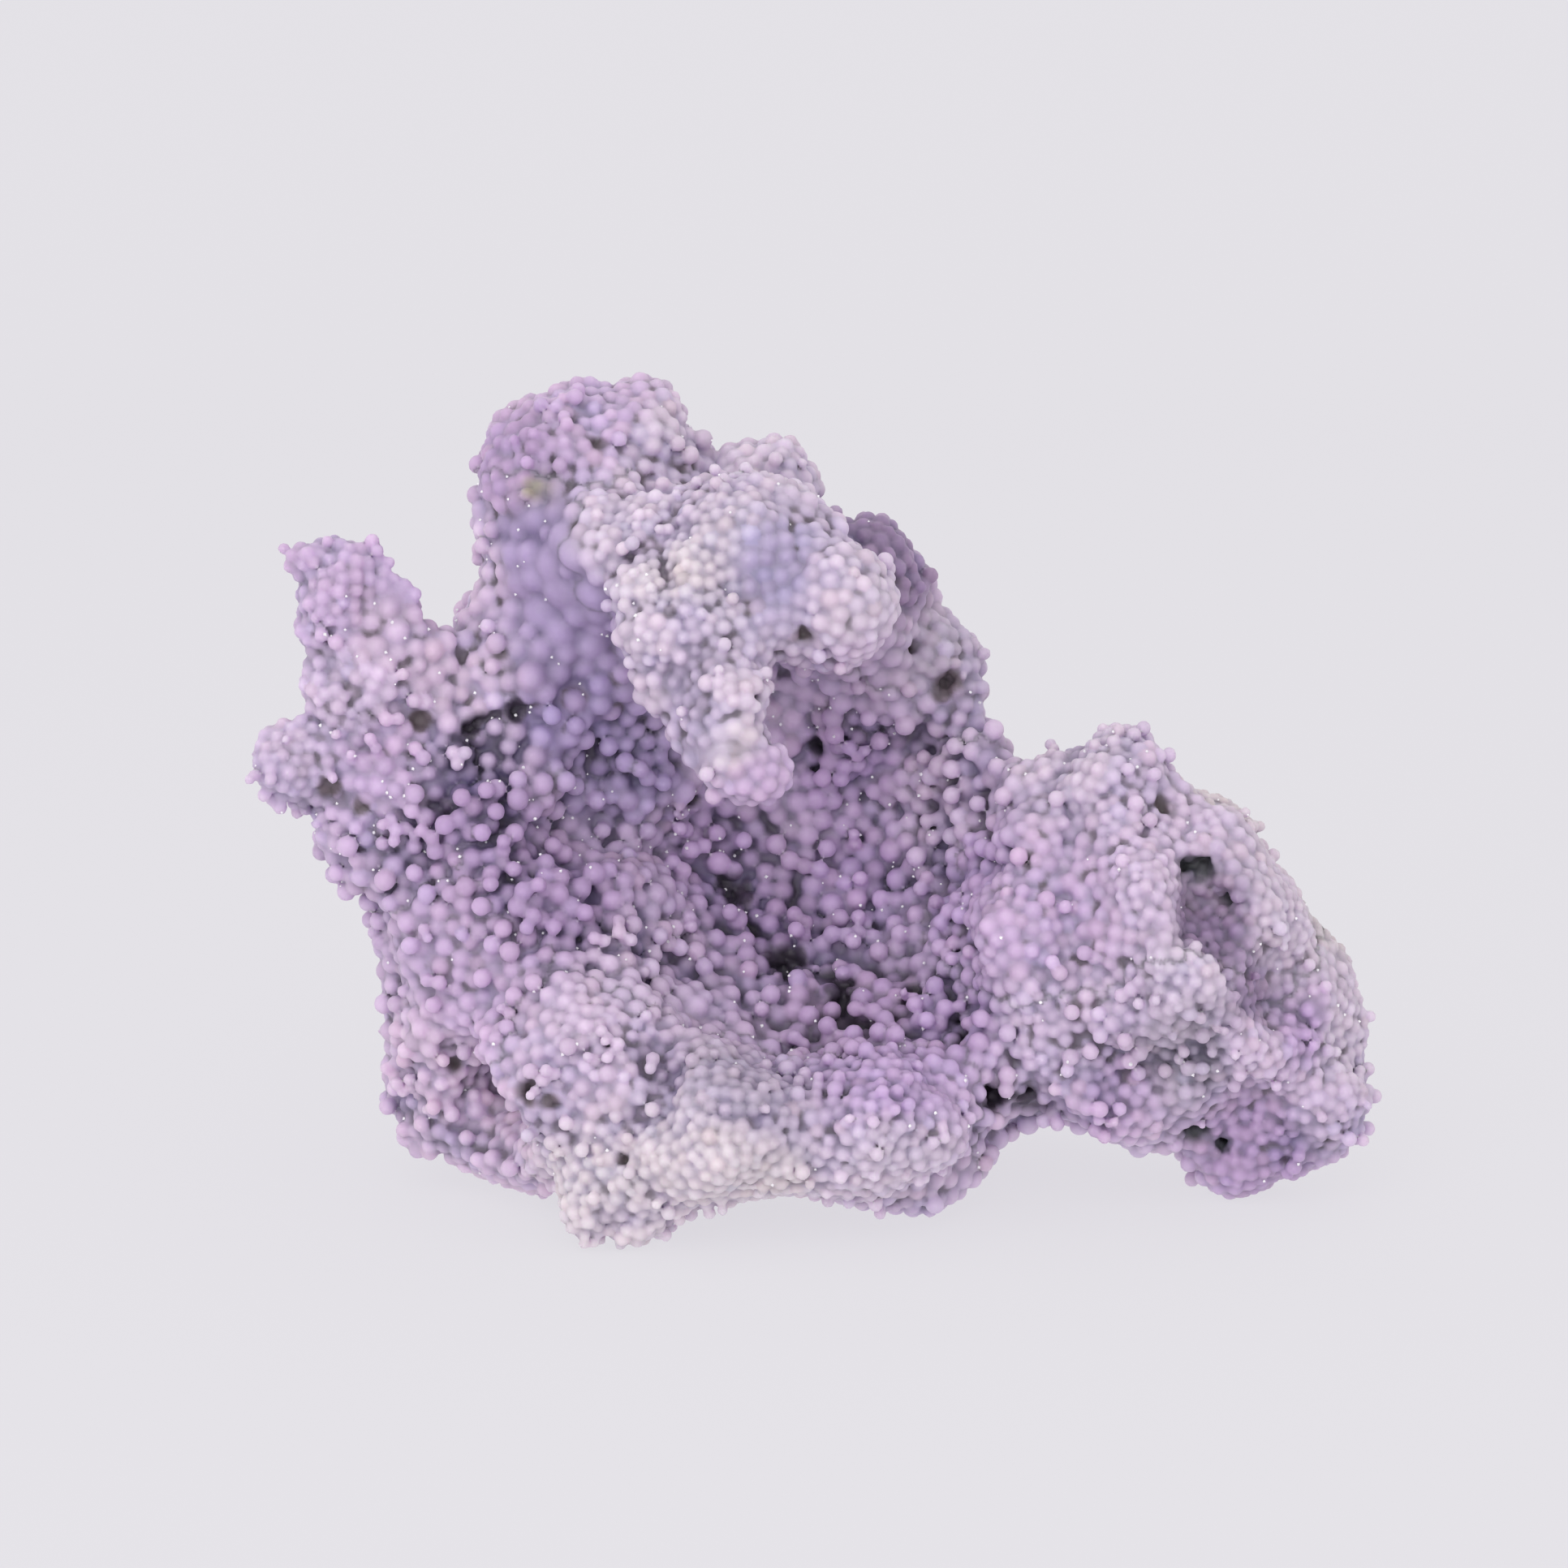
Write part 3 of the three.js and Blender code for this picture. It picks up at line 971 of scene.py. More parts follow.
@dataclass
class LeftWall(CrustPatch):
    """The smooth inner wall on the left, with the horn, its spur and the knob."""

    name: str = "left_wall"
    grid: float = 0.35
    anchors: tuple[Place, ...] = (
        (-30, -6, 68),
        (-26, -8, 58),
        (-38, -8, 60),
        (-50, -8, 66),
        (-54, -10, 48),
        (-44, -8, 45),
        (-36, -8, 50),
    )
    zones: tuple[Zone, ...] = (
        Zone((-30, -10, 70), 5, Tint.BLUE_VIOLET, 1.6, 0.9, 0.3, Tint.DUSK, 0.6, 1.0),
        Zone((-25, -11, 64), 6, Tint.BLUE_VIOLET, 1.7, 0.9, 0.35, Tint.DUSK, 0.6, 1.0),
        Zone((-24, -8, 53), 6, Tint.BLUE_VIOLET, 1.25, 0.92, 0.35, Tint.DUSK, 0.45, 1.2),
        Zone((-36, -4, 68), 4, Tint.PINK_LILAC, 0.9, 0.95, 0.2, relief=1.3),
        Zone((-37, -9, 57), 5, Tint.PINK_LILAC, 1.05, 0.95, 0.25, relief=1.3),
        Zone((-34, -12, 50), 5, Tint.LILAC, 1.02, 0.9, 0.45, Tint.INDIGO, 0.22, 2.0),
        Zone((-50, -12, 66), 5, Tint.MAUVE, 0.7, 0.98, 0.1, relief=1.5),
        Zone((-45, -12, 63), 3, Tint.PINK_LILAC, 1.2, 0.8, 0.15, Tint.MAUVE, 0.6, 0.8),
        Zone((-42, -9, 68), 3, Tint.MAUVE, 0.74, 0.98, 0.1, relief=1.2),
        Zone((-48, -12, 56), 4, Tint.LILAC, 0.75, 0.97, 0.15, relief=1.6),
        Zone((-55, -13, 50), 4.5, Tint.LILAC, 0.68, 0.98, 0.1, relief=1.5),
        Zone((-44, -13, 48), 5, Tint.MAUVE, 0.9, 0.95, 0.3),
    )
    pits: tuple[Pit, ...] = (
        # Pits painted inside as shade, near-black for the first and third.
        Pit((-35, -10, 53), 1.1, 2.6, Tint.SHADE_BLACK),
        Pit((-40, -12, 53), 0.9, 2.4),
        Pit((-31, -10, 53), 1.1, 2.6, Tint.SHADE_BLACK),
        Pit((-50, -14, 45), 1.1, 2.6),
        Pit((-47, -14, 44), 0.9, 2.4),
    )


@dataclass
class Hollow(CrustPatch):
    """The deep violet hollow under the brow, where the grapes are largest."""

    name: str = "hollow"
    grid: float = 0.38
    anchors: tuple[Place, ...] = (
        (-25, -13, 37),
        (-10, 2, 38),
        (2, 2, 34),
        (6, 5, 46),
        (14, 2, 42),
        (4, -10, 24),
        (-18, -15, 30),
    )
    zones: tuple[Zone, ...] = (
        Zone((-34, -14, 44), 6, Tint.HEATHER, 1.02, 0.93, 0.45, Tint.INDIGO, 0.22, 2.0),
        Zone((-25, -14, 35), 7, Tint.HEATHER, 1.08, 0.92, 0.5, Tint.INDIGO, 0.2, 2.2),
        Zone((-19, -16, 29), 6, Tint.LILAC, 1.0, 0.95, 0.4, Tint.INDIGO, 0.22, 1.9),
        Zone((-18, -4, 46), 6, Tint.BLUE_VIOLET, 1.12, 0.93, 0.45, Tint.INDIGO, 0.22, 1.9),
        Zone((-10, 3, 36), 6, Tint.VIOLET, 1.15, 0.9, 0.6, Tint.INDIGO, 0.2, 2.3),
        Zone((-4, 0, 30), 6, Tint.HEATHER, 1.15, 0.88, 0.6, Tint.INDIGO, 0.2, 2.4),
        Zone((5, 4, 33), 6, Tint.VIOLET, 1.15, 0.88, 0.6, Tint.INDIGO, 0.2, 2.4),
        Zone((3, 5, 44), 6, Tint.VIOLET, 1.1, 0.92, 0.5, Tint.INDIGO, 0.22, 2.0),
        Zone((13, 2, 40), 6, Tint.LILAC, 1.08, 0.95, 0.45, Tint.DUSK, 0.22, 1.7),
        # The hollow's bottom, painted near-black between its grapes as shade.
        Zone((5, -10, 23), 6, Tint.HEATHER, 1.08, 0.82, 0.5, Tint.SHADE_BLACK, 0.2, 2.5),
        Zone((14, -14, 21), 5, Tint.VIOLET, 0.98, 0.88, 0.45, Tint.INDIGO, 0.22, 2.2),
    )
    pits: tuple[Pit, ...] = (
        # Pits painted near-black inside as shade.
        Pit((-11.6, 2, 40.5), 1.4, 3.2, Tint.SHADE_BLACK),
        Pit((-8, 2, 33), 1.7, 3.6, Tint.SHADE_BLACK),
        Pit((-3, -4, 26.4), 1.8, 3.4, Tint.SHADE_BLACK),
        Pit((0, 5, 46), 1.0, 3.0, Tint.SHADE_BLACK),
        Pit((3, -7.5, 24.4), 1.7, 3.2, Tint.SHADE_BLACK),
        Pit((10, -8, 25), 1.3, 3.0, Tint.SHADE_BLACK),
        Pit((14.8, -14.4, 20.2), 1.2, 2.6, Tint.SHADE_BLACK),
    )


@dataclass
class Ledge(CrustPatch):
    """The pale, fine front ledge with its feet."""

    name: str = "ledge"
    grid: float = 0.32
    anchors: tuple[Place, ...] = (
        (-23, -22, 22),
        (-8, -26, 16),
        (8, -24, 15),
        (-12, -28, 8),
        (6, -24, 6),
        (-22, -24, 5),
    )
    zones: tuple[Zone, ...] = (
        Zone((-23, -24, 24), 6, Tint.LILAC, 0.78, 0.98, 0.2, relief=1.5),
        Zone((-8, -30, 20), 6, Tint.SMOKE, 0.72, 0.97, 0.2, Tint.DUSK, relief=1.7),
        Zone((8, -26, 19), 6, Tint.VIOLET, 0.78, 0.96, 0.25, Tint.DUSK),
        Zone((-12, -33, 11), 6, Tint.CREAM, 0.68, 0.99, 0.12, relief=1.5),
        Zone((-4, -30, 8), 4, Tint.CREAM, 0.68, 0.98, 0.15, relief=1.5),
        Zone((8, -30, 10), 6, Tint.PALE_LILAC, 0.72, 0.98, 0.18, relief=1.6),
        Zone((-23, -27, 6), 5, Tint.CREAM, 0.7, 0.98, 0.15, relief=1.5),
    )
    pits: tuple[Pit, ...] = (Pit((-20, -29, 11), 0.9, 2.2),)


@dataclass
class LeftFoot(CrustPatch):
    """The pinkish bulge and foot at the lower left."""

    name: str = "left_foot"
    grid: float = 0.34
    anchors: tuple[Place, ...] = ((-38, -10, 15), (-35, -14, 25), (-32, -8, 6))
    zones: tuple[Zone, ...] = (
        Zone((-39, -12, 15), 6, Tint.PINK_LILAC, 0.88, 0.95, 0.3, relief=1.7),
        Zone((-35, -17, 25), 6, Tint.MAUVE, 0.95, 0.95, 0.3, relief=1.7),
        Zone((-33, -10, 4), 5, Tint.PINK_LILAC, 0.82, 0.97, 0.2, relief=1.5),
    )
    pits: tuple[Pit, ...] = (
        Pit((-37, -12, 15), 1.0, 2.6),
        Pit((-30, -25, 17), 1.1, 2.8),
        Pit((-27, -27, 16), 0.9, 2.4),
    )


@dataclass
class LobeTop(CrustPatch):
    """The upper half of the broad lobe on the right, with its crossing ridge."""

    name: str = "lobe_top"
    grid: float = 0.31
    anchors: tuple[Place, ...] = ((18, -8, 36), (28, -10, 42), (38, -14, 38), (48, -12, 32), (24, -16, 32))
    zones: tuple[Zone, ...] = (
        Zone((15, -5, 34), 6, Tint.VIOLET, 0.94, 0.95, 0.3, Tint.DUSK, relief=1.6),
        Zone((23, -18, 34), 6, Tint.MAUVE, 0.88, 0.99, 0.12, relief=1.3),
        Zone((28, -8, 49), 5, Tint.PALE_LILAC, 0.76, 0.98, 0.1, relief=1.5),
        Zone((36, -12, 47), 5, Tint.LILAC, 0.76, 0.97, 0.12, relief=1.7),
        Zone((34, -21, 38), 3.5, Tint.LILAC, 0.7, 0.98, 0.12, relief=1.5),
        Zone((41, -17, 32), 3.5, Tint.PLUM, 0.74, 0.92, 0.2, Tint.SLATE, relief=2.1),
        Zone((39, -24, 29), 3.5, Tint.PALE_LILAC, 0.66, 0.98, 0.12, relief=1.6),
        Zone((47, -17, 25), 3.5, Tint.PLUM, 0.74, 0.92, 0.2, Tint.SLATE, relief=2.1),
        Zone((50, -13, 32), 4.5, Tint.PALE_LILAC, 0.7, 0.98, 0.15, relief=1.4),
        # The rim, pale beige as painted rim light.
        Zone((44, -2, 44), 4, Tint.SAND_RIM_LIGHT, 0.66, 0.98, 0.1, relief=1.2),
        Zone((54, -2, 31), 4, Tint.SAND_RIM_LIGHT, 0.66, 0.98, 0.1, relief=1.2),
    )
    pits: tuple[Pit, ...] = (
        # Holes painted dark grey inside as shade.
        Pit((39, -15.4, 37.8), 1.1, 3.2, Tint.SHADOW_GREY),
        Pit((40.2, -15.2, 36.2), 1.4, 3.2, Tint.SHADOW_GREY),
        Pit((41.8, -14.6, 34.2), 1.3, 3.2, Tint.SHADOW_GREY),
        Pit((37, -12, 44), 0.9, 2.2),
        Pit((46, -17, 27), 0.9, 2.2),
    )


@dataclass
class LobeFoot(CrustPatch):
    """The lower half of the lobe, greyer between its grapes, down to its bottom bulge."""

    name: str = "lobe_foot"
    grid: float = 0.32
    anchors: tuple[Place, ...] = ((26, -16, 18), (38, -18, 20), (50, -10, 12), (54, -6, 20), (40, -12, 8))
    zones: tuple[Zone, ...] = (
        Zone((46, -19, 20), 4, Tint.LILAC, 0.7, 0.96, 0.2, Tint.DUSK, relief=1.7),
        Zone((56, -10, 18), 5, Tint.PALE_LILAC, 0.7, 0.98, 0.15, relief=1.4),
        Zone((52, -14, 20), 3.5, Tint.VIOLET, 0.74, 0.95, 0.2, Tint.SLATE),
        Zone((25, -20, 22), 6, Tint.LILAC, 0.78, 0.98, 0.2, relief=1.4),
        Zone((38.5, -20, 19), 4.5, Tint.SMOKE, 0.72, 0.8, 0.25, Tint.SLATE, relief=2.4),
        Zone((31, -19, 14), 4, Tint.MAUVE, 0.8, 0.96, 0.2, Tint.DUSK, relief=1.6),
        Zone((47, -13, 7), 5, Tint.HEATHER, 0.74, 0.97, 0.12, Tint.DUSK, relief=1.5),
        Zone((55, -15, 11), 5, Tint.LILAC, 0.74, 0.97, 0.12, relief=1.4),
    )
    pits: tuple[Pit, ...] = (
        Pit((50, -12, 26), 0.9, 2.2),
        # The slot between ledge and lobe, painted near-black inside as shade.
        Pit((20, -17, 13.4), 1.7, 4.0, Tint.SHADE_BLACK),
        Pit((22.6, -16, 11.6), 1.6, 4.0, Tint.SHADE_BLACK),
        # Hollows painted dark grey as a painted shadow line under the lobe.
        Pit((40, -12, 8.6), 1.6, 3.2, Tint.SHADOW_GREY),
        Pit((43.4, -12, 7), 1.4, 3.2, Tint.SHADOW_GREY),
    )


@dataclass
class Back(CrustPatch):
    """The rear and the underside, which the photograph doesn't show."""

    name: str = "back"
    grid: float = 0.65
    anchors: tuple[Place, ...] = (
        (-10, 30, 45),
        (-10, 28, 20),
        (20, 22, 20),
        (40, 14, 24),
        (-30, 20, 45),
        (-20, 16, 68),
        (-40, 10, 20),
        (0, 10, 0),
    )
    zones: tuple[Zone, ...] = (
        Zone((-10, 29, 44), 24, Tint.LILAC, 1.15, 0.94, 0.2),
        Zone((-10, 30, 15), 22, Tint.MAUVE, 1.15, 0.94, 0.2, Tint.DUSK),
        Zone((4, 29, 31), 9, Tint.VIOLET, 1.2, 0.88, 0.25, Tint.INDIGO, relief=2.2),
        Zone((-36, 20, 32), 10, Tint.BLUE_VIOLET, 1.2, 0.9, 0.2, Tint.DUSK, relief=2.0),
        Zone((30, 20, 20), 18, Tint.PALE_LILAC, 1.1, 0.94, 0.2),
        Zone((-19, 17, 69), 12, Tint.PINK_LILAC, 1.05, 0.94, 0.2),
    )
    pits: tuple[Pit, ...] = (
        Pit((6.7, 28.8, 40), 2.2, 4.0),
        Pit((-28, 29.7, 37), 2.2, 4.0),
        Pit((18.4, 22.2, 21.5), 2.0, 4.0),
    )


@dataclass(frozen=True)
class ChalcedonyFinish:
    """Waxy, slightly translucent chalcedony with a frosted skin.

    Args:
        name: the material's name.
        glow: how much light passes through the skin.
        roughness: the skin's roughness.
        frost: height of the finest frosting in metres.
    """

    name: str = "chalcedony_waxy"
    glow: float = 0.9
    roughness: float = 0.5
    frost: float = 0.00005

    def material(self) -> bpy.types.Material:
        """Returns the material, made once."""
        if self.name in bpy.data.materials:
            return bpy.data.materials[self.name]
        made = bpy.data.materials.new(self.name)
        made.use_nodes = True
        nodes, links = made.node_tree.nodes, made.node_tree.links
        shader = nodes["Principled BSDF"]
        tint = nodes.new("ShaderNodeAttribute")
        tint.attribute_name = "tint"
        spot = nodes.new("ShaderNodeTexCoord")
        mottle = nodes.new("ShaderNodeTexNoise")
        mottle.inputs["Scale"].default_value = 420.0
        mottle.inputs["Detail"].default_value = 4.0
        links.new(spot.outputs["Object"], mottle.inputs["Vector"])
        spread = nodes.new("ShaderNodeMapRange")
        spread.inputs["From Min"].default_value = 0.3
        spread.inputs["From Max"].default_value = 0.7
        spread.inputs["To Min"].default_value = 0.93
        spread.inputs["To Max"].default_value = 1.05
        links.new(mottle.outputs["Fac"], spread.inputs["Value"])
        vary = nodes.new("ShaderNodeVectorMath")
        vary.operation = "SCALE"
        links.new(tint.outputs["Color"], vary.inputs[0])
        links.new(spread.outputs["Result"], vary.inputs["Scale"])
        links.new(vary.outputs["Vector"], shader.inputs["Base Color"])
        grain = nodes.new("ShaderNodeTexNoise")
        grain.inputs["Scale"].default_value = 3200.0
        grain.inputs["Detail"].default_value = 2.0
        links.new(spot.outputs["Object"], grain.inputs["Vector"])
        bump = nodes.new("ShaderNodeBump")
        bump.inputs["Strength"].default_value = 0.4
        bump.inputs["Distance"].default_value = self.frost
        links.new(grain.outputs["Fac"], bump.inputs["Height"])
        links.new(bump.outputs["Normal"], shader.inputs["Normal"])
        polish = nodes.new("ShaderNodeMapRange")
        polish.inputs["To Min"].default_value = self.roughness - 0.08
        polish.inputs["To Max"].default_value = self.roughness + 0.12
        links.new(mottle.outputs["Fac"], polish.inputs["Value"])
        links.new(polish.outputs["Result"], shader.inputs["Roughness"])
        shader.inputs["IOR"].default_value = 1.54
        shader.inputs["Specular IOR Level"].default_value = 0.35
        shader.inputs["Subsurface Weight"].default_value = self.glow
        shader.inputs["Subsurface Radius"].default_value = (1.0, 0.8, 1.0)
        shader.inputs["Subsurface Scale"].default_value = 0.0018
        return made


@dataclass(frozen=True)
class GlintFinish:
    """Crystal painted near-white as a glint, and smooth.

    Args:
        name: the material's name.
        roughness: the facets' roughness.
    """

    name: str = "clear_crystal"
    roughness: float = 0.12

    def material(self) -> bpy.types.Material:
        """Returns the material."""
        made = bpy.data.materials.new(self.name)
        made.use_nodes = True
        nodes, links = made.node_tree.nodes, made.node_tree.links
        shader = nodes["Principled BSDF"]
        spot = nodes.new("ShaderNodeTexCoord")
        veil = nodes.new("ShaderNodeTexNoise")
        veil.inputs["Scale"].default_value = 900.0
        links.new(spot.outputs["Object"], veil.inputs["Vector"])
        frosted = nodes.new("ShaderNodeMapRange")
        frosted.inputs["To Min"].default_value = self.roughness * 0.6
        frosted.inputs["To Max"].default_value = self.roughness * 1.8
        links.new(veil.outputs["Fac"], frosted.inputs["Value"])
        links.new(frosted.outputs["Result"], shader.inputs["Roughness"])
        # Near-white base colour: painted glint.
        shader.inputs["Base Color"].default_value = (*Tint.GLINT_WHITE.linear(), 1.0)
        shader.inputs["IOR"].default_value = 2.0
        return made


@dataclass
class Glints:
    """Tiny crystals that sit on the grapes, near-white as painted glints, with a real specular.

    Args:
        counts: how many sit on each piece of the crust.
        radii: the least and the largest radius.
        tall: the height of a crystal's tip, as a share of its radius.
        lean: how freely a crystal leans away from the surface's outward direction.
        proud: how far its middle stands over the surface.
    """

    counts: dict[str, int] = field(
        default_factory=lambda: {
            "crust_brow": 30,
            "crust_crown": 25,
            "crust_left_wall": 160,
            "crust_hollow": 330,
            "crust_ledge": 40,
            "crust_left_foot": 30,
            "crust_lobe_top": 50,
            "crust_lobe_foot": 60,
        }
    )
    radii: Pair = (0.11, 0.23)
    tall: float = 1.2
    lean: float = 0.5
    proud: float = 0.03

    def build(self, pieces: list[bpy.types.Object]) -> bpy.types.Object:
        """Builds the crystals as one piece.

        Args:
            pieces: the crust's pieces, which they sit on.

        Returns:
            The finished piece.
        """
        chance = np.random.default_rng(SEED + 3)
        turns = np.arange(6) * math.pi / 3.0
        ring = np.stack([np.cos(turns), np.sin(turns), np.zeros(6)], axis=1)
        corners = np.concatenate([ring, [[0.0, 0.0, self.tall], [0.0, 0.0, -self.tall]]])
        sides = [(i, (i + 1) % 6, 6) for i in range(6)] + [((i + 1) % 6, i, 7) for i in range(6)]
        points, faces = [], []
        for piece in pieces:
            for spot, way in zip(*self.perches(piece, chance)):
                axis = chance.normal(size=3) * self.lean + way
                axis /= np.linalg.norm(axis)
                across = np.cross(axis, chance.normal(size=3))
                across /= np.linalg.norm(across)
                frame = np.stack([across, np.cross(axis, across), axis])
                faces.append(np.array(sides) + len(points) * len(corners))
                points.append(spot + way * self.proud + corners @ frame * chance.uniform(*self.radii))
        mesh = mesh_of("glints", np.concatenate(points), np.concatenate(faces))
        mesh.shade_flat()
        mesh.materials.append(GlintFinish().material())
        return place(mesh.name, mesh)

    def perches(self, piece: bpy.types.Object, chance: np.random.Generator) -> tuple[np.ndarray, np.ndarray]:
        """Picks where crystals sit on a piece.

        Args:
            piece: the piece.
            chance: where the luck comes from.

        Returns:
            The places, and the surface's outward direction at each.
        """
        total = len(piece.data.vertices)
        chosen = chance.integers(0, total, self.counts.get(piece.name, 0))
        places, ways = np.empty(total * 3), np.empty(total * 3)
        piece.data.vertices.foreach_get("co", places)
        piece.data.vertices.foreach_get("normal", ways)
        return places.reshape(-1, 3)[chosen] / MM, ways.reshape(-1, 3)[chosen]


@dataclass(frozen=True)
class Shading:
    """How the crust's colour and its painted shade and light follow its relief. A range gives where an
    effect starts and where it is full.

    Args:
        feel: how far around a point the filled space is felt.
        rise: the range of that space's share, from gaps to the grapes' tops.
        grain: the range of radii, from smooth swells to grains.
        flank: the range of rise in which grapes take the gap's colour as painted shade.
        foot: the range of rise in which grains take the painted shade of small holes, in dark brown.
        hollow: the range of relief, from grainy parts to the hollow.
        gap: how strongly valleys and flanks take the gap's colour as painted shade.
        hole_shade_pattern: pitch, contrast and spread of the painted shade of small holes.
        deep_shade: pitch, contrast and spread of the painted shade in the darkest gaps.
        deep: how steeply those begin down a valley.
        pit: the range of depth in which a pit takes its colour as painted shade, and how strongly.
        own: how much of a grape's colour is its own, for brightness and for warmth.
        light: the brightness in the gaps, and the painted light that the tops add.
    """

    feel: float = 0.7
    rise: Pair = (0.74, 0.32)
    grain: Pair = (1.55, 1.2)
    flank: Pair = (0.58, 0.18)
    foot: Pair = (0.5, 0.25)
    hollow: Pair = (1.222, 2.333)
    gap: Pair = (0.75, 0.2)
    hole_shade_pattern: tuple[float, float, float] = (1.7, 3.0, -0.9)
    deep_shade: tuple[float, float, float] = (2.3, 1.6, 0.55)
    deep: float = 2.2
    pit: tuple[float, float, float] = (0.6, 1.8, 0.9)
    own: Pair = (0.05, 0.012)
    light: Pair = (0.9, 0.14)


@dataclass
class Crust:
    """The whole crust, which its patches are cut from.

    Args:
        patches: the patches, each with its zones and pits.
        shading: how its colour follows its relief.
    """

    patches: tuple[CrustPatch, ...] = field(
        default_factory=lambda: (
            Brow(),
            Crown(),
            LeftWall(),
            Hollow(),
            Ledge(),
            LeftFoot(),
            LobeTop(),
            LobeFoot(),
            Back(),
        )
    )
    shading: Shading = Shading()

    def grow(self, node: bpy.types.Object) -> None:
        """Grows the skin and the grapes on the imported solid.

        Args:
            node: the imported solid.
        """
        self.zones = [zone for patch in self.patches for zone in patch.zones]
        self.pits = [pit for patch in self.patches for pit in patch.pits]
        layer = Skin()
        self.solid = layer.solid_field(node)
        self.skin = layer.build(self.solid, self.zones, self.pits)
        self.grapes = Vineyard().grow(self.solid, self.skin, self.zones, self.pits)
        self.grapes.owners = self.owners(self.grapes.middles)
        self.tree = KDTree(len(self.grapes.radii))
        for number, middle in enumerate(self.grapes.middles):
            self.tree.insert(middle, number)
        self.tree.balance()
        self.own = np.random.default_rng(SEED + 2).normal(size=(len(self.grapes.radii), 2))

    def owners(self, points: np.ndarray) -> np.ndarray:
        """Returns the number of the patch whose anchors are nearest to each point."""
        best = np.full(len(points), np.inf)
        owner = np.zeros(len(points), int)
        for number, patch in enumerate(self.patches):
            for anchor in patch.anchors:
                away = np.linalg.norm(points - np.array(anchor, float), axis=1)
                closer = away < best
                best[closer] = away[closer]
                owner[closer] = number
        return owner

    def nearest(self, points: np.ndarray) -> np.ndarray:
        """Returns the number of the grape whose skin is nearest to each point."""
        radii = self.grapes.radii.tolist()
        chosen = np.empty(len(points), int)
        for row, point in enumerate(points.tolist()):
            around = self.tree.find_n(point, 4)
            chosen[row] = min((away - radii[number], number) for _, number, away in around)[1]
        return chosen

    def colours(self, points: np.ndarray, nearest: np.ndarray, grid: Field) -> np.ndarray:
        """Works out the crust's colour, with painted shade low down and painted light on the grapes' tops.

        Args:
            points: the surface's corners.
            nearest: the number of the grape nearest to each.
            grid: signed distances to the surface around them.

        Returns:
            Each corner's colour.
        """
        growth = Growth.at(points, self.zones)
        shading = self.shading
        rises = ramp(grid.fullness(shading.feel).sample(points), *shading.rise)
        depth = -self.solid.sample(points)
        valley = growth.valley(depth)
        grainy = ramp(growth.grape, *shading.grain)
        flank = ramp(rises, *shading.flank)
        # Painted shade: valleys and flanks between grapes take the gap colour, partly the matrix's own.
        shade = np.clip(valley * shading.gap[0] + flank * shading.gap[1], 0.0, 1.0)
        tints_with_painted_light = growth.tint + (growth.gap - growth.tint) * shade[:, None]
        hollowed = ramp(growth.relief, *shading.hollow)
        # Painted shade of small holes between grains, in dark brown.
        pitch, contrast, spread = shading.hole_shade_pattern
        hole_shade = np.clip(contrast * ripple(points, pitch, 9) + spread + valley, 0.0, 0.8)
        hole_shade *= ramp(rises, *shading.foot) * grainy * (1.0 - hollowed)
        tints_with_painted_light += (Tint.UMBER_SHADE.linear() - tints_with_painted_light) * hole_shade[:, None]
        # Painted shade, near-black, at the bottom of the hollow's deep valleys.
        pitch, contrast, spread = shading.deep_shade
        deep_shade = np.clip(contrast * ripple(points, pitch, 10) + spread, 0.0, 1.0)
        deep_shade *= np.clip(valley * shading.deep - 1.0, 0.0, 1.0) * hollowed
        tints_with_painted_light += (Tint.SHADE_BLACK.linear() - tints_with_painted_light) * deep_shade[:, None]
        # Painted shade inside the pits, stronger deeper down, over their own dark colour.
        start, full, strength = shading.pit
        for pit in self.pits:
            close = pit.reaches(points)
            bite = np.clip(pit.bite(points[close], self.solid) / pit.width * 2.0 + 1.1, 0.0, 1.0)
            bite *= ramp(depth[close], start, full) * strength
            tints_with_painted_light[close] += (pit.tint.linear() - tints_with_painted_light[close]) * bite[:, None]
        # Each grape's own random tone and warmth, and painted light that lifts the grapes' tops over the
        # gaps.
        own = self.own[nearest] * np.array(shading.own) * (0.25 + 0.75 * grainy)[:, None]
        tone_and_painted_light = (1.0 + own[:, 0]) * (shading.light[0] + shading.light[1] * rises)
        warmth = np.stack([own[:, 1], np.zeros(len(own)), -own[:, 1]], axis=1)
        return tints_with_painted_light * tone_and_painted_light[:, None] * (1.0 + warmth)


